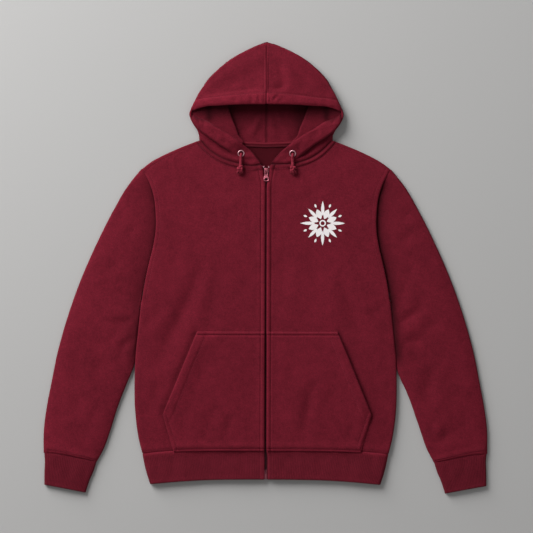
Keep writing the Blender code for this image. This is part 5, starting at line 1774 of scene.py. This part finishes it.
slot_hole = [(-1.9, .1), (1.9, .1), (2.1, -.6), (2.1, -7.4), (1.4, -8.3), (-1.4, -8.3), (-2.1, -7.4),
             (-2.1, -.6)]
ring_hole = ellipse(0, -18.4, 3.7, 2.35)
body = plate([outline, slot_hole, ring_hole], .72, .34, 3)
# a raised rim about the ring hole
rim_path = [(4.6 * cos(a), -18.4 + 3.2 * sin(a), .45) for a in np.linspace(0, 2 * pi, 37)[:-1]]
rim_part = tube_mesh(rim_path, .45, 10, closed=True)
spine = moved(round_box((-1.15, 1.15), (-16.0, -12.6), (-.2, .95), .3), (0, 0, 0))
v, f = joined([moved(bent(q), (0, PIVOT_Y, PIVOT_Z)) for q in (body, rim_part, spine)])
pull = hard(finish_mesh("zip_pull_tab", v, f, M_METAL, body=PULL, nodes=["zip_pull"],
                        slot="tinted_metal"))

# ------------------------------------------------------------ eyelets, cords, knots, tails


def braid(a, s):
    return 1 + .055 * np.sin(4 * a + s * 1.55) * np.sin(4 * a - s * 1.55) + .03 * np.cos(8 * a)


def strand_relief(a, s):
    return 1 + .06 * np.sin(3 * a + s * 2.2) + .03 * np.sin(7 * a - s * 1.4)


def turned(profile, n=44):
    """Revolve (radius, height) pairs, which form a closed section."""
    m = len(profile)
    verts, faces = [], []
    for i in range(n):
        a = 2 * pi * i / n
        verts += [(r * cos(a), r * sin(a), z) for r, z in profile]
    for i in range(n):
        for k in range(m):
            i1, k1 = (i + 1) % n, (k + 1) % m
            faces.append((i * m + k, i1 * m + k, i1 * m + k1, i * m + k1))
    return np.array(verts), faces


for word, side in (("left", 1), ("right", -1)):
    ex, ey = side * EYELET_X + 1.0, EYELET_Y
    around = []
    for k in range(16):
        a = 2 * pi * k / 16
        x, y = ex + 6.0 * cos(a), ey + 6.0 * sin(a)
        around.append((x, y, top_at(x, y)[0]))
    around = np.array(around)
    A = np.c_[around[:, :2] - [ex, ey], np.ones(16)]
    (gx, gy, gz), *_ = np.linalg.lstsq(A, around[:, 2], rcond=None)
    n = Vector((-gx, -gy, 1)).normalized()
    rot = np.array(Vector((0, 0, 1)).rotation_difference(n).to_matrix())
    arc = [(5.8 + 1.15 * cos(a), .15 + 1.25 * sin(a)) for a in np.linspace(0, pi, 11)]
    profile = [(6.95, -.45)] + arc + [(4.55, -1.0), (4.5, -2.6), (5.0, -2.6), (5.3, -.9)]
    ring_v, ring_f = turned(profile[::-1])
    ring_v, ring_f = moved((ring_v, ring_f), (ex, ey, gz + .1), rot)
    outward(finish_mesh("eyelet_" + word + "_ring", ring_v, ring_f, M_RING, nodes=["eyelet_" + word],
                slot="tinted_metal"))
    # cord: up out of the hole, over the rim, down the front to the knot
    lean = -1 if side < 0 else .4
    stops = [(-.4, 0, gz - 1.9), (-1.2, 0, gz + .3), (-3.0, .02, gz + 2.7), (-5.8, .05, gz + 4.3)]
    for dy, dx in ((-9.5, .12), (-13.5, .22), (-17.5, .4), (-21.5, .6), (-25.5, .9)):
        x, y = ex + dx * lean, ey + dy
        stops.append((dy, dx, height_near(x, y) + CORD_D / 2 + (.9 if dy > -20 else .25)))
    kx, ky = ex + 1.1 * lean, ey - 29.5
    kz = height_near(kx, ky, 5.5) + 3.9
    stops += [(-29.5, 1.1, kz), (-34.5, 1.5, kz - .5), (-38.6, 2.1, kz - .8)]
    run = Curve([(ex + dx * lean, ey + dy, z) for dy, dx, z in stops], 400)
    path = run(np.linspace(0, 1, 76))
    v, f = tube_mesh(path, CORD_D / 2 * (.86 + .14 * ease(np.linspace(0, 1, 76) / .3)), 24, braid)
    cord = finish_mesh("cord_" + word + "_braid", v, f, M_CORD,
                       nodes=["cord_" + word, "cord_end_" + word], slot="burgundy_cord")
    # overhand knot
    a = np.linspace(0, 2 * pi, 97)[:-1] + .5
    knot = np.stack([1.72 * (np.sin(a) + 2 * np.sin(2 * a)) * 1.0,
                     1.72 * (np.cos(a) - 2 * np.cos(2 * a)) * .78,
                     -1.9 * np.sin(3 * a)], -1)
    spin = radians(24 if side < 0 else -150)
    knot = knot @ np.array([[cos(spin), sin(spin), 0], [-sin(spin), cos(spin), 0], [0, 0, 1]])
    v, f = tube_mesh(knot + [kx, ky, kz], 2.3, 16, strand_relief, closed=True)
    # painted shade: the knot darker towards its underside
    knot_ob = finish_mesh("knot_" + word + "_cord", v, f, M_CORD, nodes=["knot_" + word],
                          slot="burgundy_cord", shade=.55 + .60 * ease((v[:, 2] - kz + 1.5) / 4.6))
    # frayed tail: three tufts of twisted yarns
    rng = np.random.default_rng(5 + side)
    parts = []
    way = -1 if side < 0 else 1
    for tuft, (tx, ty, turn_a) in enumerate(((-4.4, -12.6, .5), (-.4, -14.4, 0), (3.8, -12.2, -.6))):
        for k in range(15):
            r, phi = 2.1 * sqrt(rng.random()), rng.random() * 2 * pi
            root = np.array([kx + tx * .45 + 1.2 * r * cos(phi) + way * .3, ky - 4.6,
                             kz - .4 + 1.6 * r * sin(phi)])
            tip = np.array([kx + tx + way * 1.7 + r * cos(phi) * 1.1, ky + ty + 2.6 * rng.random(),
                            kz - 1.3 + r * sin(phi) * .9])
            mid = (root + tip) / 2 + np.array([(tx * .25), 0, .9]) + rng.normal(0, .35, 3)
            c = Curve([tuple(root), tuple(mid), tuple(tip)], 30)
            q = c(np.linspace(0, 1, 9))
            twist = np.linspace(0, 4.2, 9) + phi
            q = q + np.stack([np.cos(twist), 0 * twist, np.sin(twist)], -1) * .35
            q[:, 2] = np.maximum(q[:, 2], kz - 3.2)
            rad = .62 * np.array([.9, 1, 1, 1, 1, .95, .9, .8, .55])
            parts.append(tube_mesh(q, rad, 7))
    v, f = joined(parts)
    tail = finish_mesh("cord_" + word + "_frayed_end", v, f, M_CORD, slot="burgundy_cord")


# ------------------------------------------------------------ stitching
def dash(p, q, n, r):
    """A short stitch from p to q, sunk a little at its ends. Points are mm."""
    p, q, n = Vector(p), Vector(q), Vector(n)
    along = (q - p).normalized()
    across = n.cross(along).normalized()
    verts, faces = [], []
    for f, rad, drop in ((.0, .30, -.55), (.24, .95, -.02), (.76, .95, -.02), (1.0, .30, -.55)):
        c = p.lerp(q, f) + n * (r * drop)
        for k in range(5):
            a = 2 * pi * k / 5 + pi / 2
            verts.append(c + across * (cos(a) * r * rad) + n * (sin(a) * r * rad))
    for k in range(3):
        for i in range(5):
            i1 = (i + 1) % 5
            faces.append((k * 5 + i, k * 5 + i1, k * 5 + 5 + i1, k * 5 + 5 + i))
    faces.append((4, 3, 2, 1, 0))
    faces.append((15, 16, 17, 18, 19))
    return np.array([v[:] for v in verts]), faces


def stitched(name, lines, pitch=3.3, share=.70, r=.30, tree=None, lift=.04, mat=None):
    """Rows of stitches laid on the cloth along plan lines (mm)."""
    parts = []
    for line in lines:
        c = Curve([to_tuple(p) for p in line], 300)
        count = max(2, int(round(c.length / pitch)))
        ends = c(np.linspace(0, 1, count * 2 + 1))
        step = 1.0 / count
        for k in range(count):
            a = c(np.array((k + .5 - share / 2) * step))
            b = c(np.array((k + .5 + share / 2) * step))
            za, na = top_at(a[0], a[1], tree)
            zb, nb = top_at(b[0], b[1], tree)
            if za is None or zb is None or abs(za - zb) > 1.6:
                continue
            n = (na + nb).normalized()
            if n.z < .45:
                continue
            parts.append(dash((a[0], a[1], za + lift), (b[0], b[1], zb + lift), n, r))
    if not parts:
        return None
    v, f = joined(parts)
    return finish_mesh(name, v, f, mat or M_THREAD, slot=None)


def shifted(points, by):
    """A plan line moved sideways to its left by some mm."""
    p = np.asarray(points, float)
    t = np.gradient(p, axis=0)
    t /= np.linalg.norm(t, axis=1, keepdims=True)
    return p + by * np.stack([-t[:, 1], t[:, 0]], -1)


def cut(line, low, high):
    n = len(line)
    return line[int(low * (n - 1)):int(high * (n - 1)) + 1]


for word, side in (("left", 1), ("right", -1)):
    mirror = np.array([side, 1.0])
    fronts = tree_of("front_" + word + "_cloth", "pocket_" + word + "_cloth")
    arm = shifted(cut(C_ARM.p, .03, .93)[::8], 8.6)
    neck = shifted(cut(C_NECK.p, .08, .97)[::8], -8.6)
    neck[:, 1] -= .68 * dip(neck[:, 0] * side)
    shoulder = shifted(cut(C_SHOULDER.p, .05, .90)[::8], -7.5)
    zip_line = [(1.7 + PLACKET, y) for y in np.linspace(-361, 168, 40)] + [
        (11.2, 176), (13.7, 186), (15.0, 193), (16.2, 197.6)]
    hem = [(x, hem_seam(x) + 5.4) for x in np.linspace(13.5, 243.0, 30)]
    side_seam = shifted(cut(C_SIDE.p, .02, .98)[::10], 4.6)
    stitched("front_" + word + "_stitches", [q * mirror for q in map(np.asarray, (
        arm, neck, shoulder, zip_line, hem))], tree=fronts)
    # pocket: top edge in two rows, the opening, the lower side
    top = [[(x, -128 - d) for x in np.linspace(12.2, 138, 24)] for d in (1.7, 7.4)]
    opening = shifted(cut(POCKET.p, .05, .98)[::10], -19.2)
    low = shifted(POCKET_LOW.p[::10], -8.0)
    lower = tree_of("pocket_" + word + "_cloth")
    lines = []
    for q in (top[0], top[1], opening, low):
        q = np.asarray(q) * mirror
        q[:, 0] += LEAN * ease((np.abs(q[:, 0]) - 12) / 60)
        lines.append(q)
    stitched("pocket_" + word + "_stitches", lines, tree=lower)
    # sleeve over the cuff
    sleeves = tree_of("sleeve_" + word + "_cloth")
    end = shifted(cut(C_SL_END.p, .03, .97)[::10], -5.0)
    stitched("sleeve_" + word + "_stitches", [end * mirror], tree=sleeves)
    # hood: hem round the mouth in two rows, rows beside the centre seam
    hoods = tree_of("hood_" + word + "_cloth")
    lines = []
    for d in (HEM_W - 1.2, HEM_W + 1.3):
        pts = []
        for u in np.linspace(7.6, 13.97, 60):
            m, s = np.array(row_smooth(MOUTH, u)), np.array(row_smooth(SIDE[side], u))
            pts.append(m + (s - m) / np.linalg.norm(s - m) * d)
        lines.append(np.array(pts))
    centre = np.array([(4.9, y) for y in np.linspace(354, 443, 20)])
    lines.append(centre)
    stitched("hood_" + word + "_stitches", [q * mirror for q in lines], tree=hoods, pitch=3.2)
band_tree = tree_of("hem_band_cloth")
stitched("hem_band_stitches", [[(s * 10.9, y) for y in np.linspace(-367.5, -421, 16)]
                               for s in (1, -1)], tree=band_tree)
tape_tree = tree_of("neck_tape_cloth")
stitched("neck_tape_stitches", [[(x, C_BACK(abs(x) / 131)[1] + 8.2 - 9.2 * t)
                                 for x in np.linspace(-66, 66, 40)] for t in (.62, .9)],
         tree=tape_tree, pitch=3.0, r=.24, mat=M_TAPE)

# ------------------------------------------------------------ chest print
PRINT_X, PRINT_Y = W(322, 223)
M_PRINT = Net("white_print_ink")
at = M_PRINT.place()
speck = M_PRINT.noise(at, 1300, 3.0, .7)
slow = M_PRINT.noise(at, 90, 2.0)
bright = M_PRINT.math('ADD', .90, M_PRINT.math('MULTIPLY', M_PRINT.math('SUBTRACT', slow, .5), .12))
bright = M_PRINT.math('ADD', bright, M_PRINT.math('MULTIPLY', M_PRINT.math('SUBTRACT', speck, .5), .22))
M_PRINT.put(M_PRINT.shader.inputs["Base Color"], M_PRINT.scaled((.80, .76, .76), bright))
M_PRINT.shader.inputs["Roughness"].default_value = .7
M_PRINT.bump(speck, .35, .0003)
M_PRINT = M_PRINT.mat
chest = tree_of("front_left_cloth")


def ink(points_of, nu, nv):
    """A film of ink over a patch, laid on the cloth. points_of(s, t) gives plan places."""
    S, T = np.meshgrid(np.linspace(0, 1, nu), np.linspace(0, 1, nv), indexing="ij")
    x, y = points_of(S, T)
    low, high = np.empty(S.shape + (3,)), np.empty(S.shape + (3,))
    for i in range(nu):
        for j in range(nv):
            z, _ = top_at(x[i, j], y[i, j], chest)
            low[i, j] = (x[i, j], y[i, j], z - .12)
            high[i, j] = (x[i, j], y[i, j], z + .16)
    verts = np.concatenate([high.reshape(-1, 3), low.reshape(-1, 3)])
    idx = np.arange(nu * nv).reshape(nu, nv)
    up = np.stack([idx[:-1, :-1], idx[1:, :-1], idx[1:, 1:], idx[:-1, 1:]], -1).reshape(-1, 4)
    ring = np.concatenate([idx[:-1, 0], idx[-1, :-1], idx[:0:-1, -1], idx[0, :0:-1]])
    nxt = np.roll(ring, -1)
    edge = np.stack([nxt, ring, ring + nu * nv, nxt + nu * nv], -1)
    faces = np.concatenate([up, up[:, ::-1] + nu * nv, edge])
    a, b = verts[up[0, 1]] - verts[up[0, 0]], verts[up[0, 3]] - verts[up[0, 0]]
    if np.cross(a, b)[2] < 0:
        faces = faces[:, ::-1]
    return verts, faces.tolist()


def petal(angle, near, far, wide, power=1.0):
    def place(S, T):
        r = near + (far - near) * (.002 + .996 * S)
        half = wide * np.sin(pi * (.004 + .992 * S) ** power) ** .9 * .5
        w = half * (2 * T - 1)
        return (PRINT_X + r * cos(angle) - w * sin(angle), PRINT_Y + r * sin(angle) + w * cos(angle))
    return place


patches = []
for k in range(8):
    a = pi / 8 + k * pi / 4
    patches.append(ink(petal(a, 9, 30, 11.5), 15, 7))
    patches.append(ink(petal(a + pi / 8, 15, 44.5 if k % 2 else 40.5, 6.4, .85), 17, 5))
    patches.append(ink(petal(a, 33.5, 41.5, 4.2), 7, 5))
ring_path = lambda S, T: (PRINT_X + (4.0 + 2.6 * T) * np.cos(2 * pi * S * .999),
                          PRINT_Y + (4.0 + 2.6 * T) * np.sin(2 * pi * S * .999))
patches.append(ink(ring_path, 49, 3))
v, f = joined(patches)
finish_mesh("chest_print", v, f, M_PRINT, smooth=False)

# ------------------------------------------------------------ cloth facts
# what each piece of cloth was cut to, flat, before it was sewn: width, length and area (m)
SHEETS = [("back", (.530, .622), .298, ["floor"]),
          ("front_left", (.262, .615), .144, ["back_cloth"]),
          ("front_right", (.262, .615), .144, ["back_cloth"]),
          ("sleeve_left", (.360, .620), .138, ["floor"]),
          ("sleeve_right", (.360, .620), .138, ["floor"]),
          ("hood_left", (.270, .360), .058, ["floor", "back_cloth"]),
          ("hood_right", (.270, .360), .058, ["floor", "back_cloth"]),
          ("hem_band", (.970, .062), .058, ["floor"]),
          ("cuff_left", (.190, .065), .012, ["floor"]),
          ("cuff_right", (.190, .065), .012, ["floor"]),
          ("pocket_left", (.210, .245), .042, ["front_left_cloth"]),
          ("pocket_right", (.210, .245), .042, ["front_right_cloth"]),
          ("neck_tape", (.139, .010), .00139, ["back_cloth"]),
          ("zip_tape_left", (.012, .630), .0075, ["front_left_cloth"]),
          ("zip_tape_right", (.012, .630), .0075, ["front_right_cloth"])]
for word, flat, size, under in SHEETS:
    ob = bpy.data.objects[word + "_cloth"]
    print("sheet", word, round(sum(p.area for p in ob.data.polygons) / 2, 5), size)




# ------------------------------------------------------------ floor and light
def floor_material():
    net = Net("pale_floor")
    at = net.place()
    slow = net.noise(at, 2.5, 3.0, .5)
    fine = net.noise(at, 900, 2.0, .6)
    bright = net.math('ADD', .985, net.math('MULTIPLY', net.math('SUBTRACT', slow, .5), .02))
    bright = net.math('ADD', bright, net.math('MULTIPLY', net.math('SUBTRACT', fine, .5), .02))
    net.put(net.shader.inputs["Base Color"], net.scaled((.40, .395, .39), bright))
    s = net.shader.inputs
    s["Roughness"].default_value = .85
    s["Specular IOR Level"].default_value = .15
    net.bump(fine, .05, .0003)
    return net.mat


floor_mesh = bpy.data.meshes.new("floor")
R = 24.0
floor_mesh.from_pydata([(-R, -R, -.0004), (R, -R, -.0004), (R, R, -.0004), (-R, R, -.0004)], [], [(0, 1, 2, 3)])
floor = bpy.data.objects.new("floor", floor_mesh)
floor_mesh.materials.append(floor_material())
bpy.context.scene.collection.objects.link(floor)


def area(name, at, aim, size, power, colour=(1, 1, 1)):
    data = bpy.data.lights.new(name, 'AREA')
    data.shape = 'DISK'
    data.size = size
    data.energy = power
    data.color = colour
    ob = bpy.data.objects.new(name, data)
    ob.location = at
    ob.rotation_mode = 'QUATERNION'
    ob.rotation_quaternion = (Vector(aim) - Vector(at)).to_track_quat('-Z', 'Y')
    ob.visible_camera = False
    bpy.context.scene.collection.objects.link(ob)
    return ob


area("key", (-2.4, 2.6, 1.75), (0, 0, 0), 3.2, 310)
area("fill", (2.6, -1.6, 3.4), (0, 0, 0), 3.0, 16)

world = bpy.data.worlds.new("studio")
bpy.context.scene.world = world
world.use_nodes = True
background = world.node_tree.nodes["Background"]
background.inputs["Color"].default_value = (1, 1, 1, 1)
background.inputs["Strength"].default_value = .27

view = bpy.context.scene.view_settings
view.view_transform = 'Standard'
view.look = 'None'
view.exposure, view.gamma = 0, 1

# ------------------------------------------------------------ scene update
bpy.context.view_layer.update()
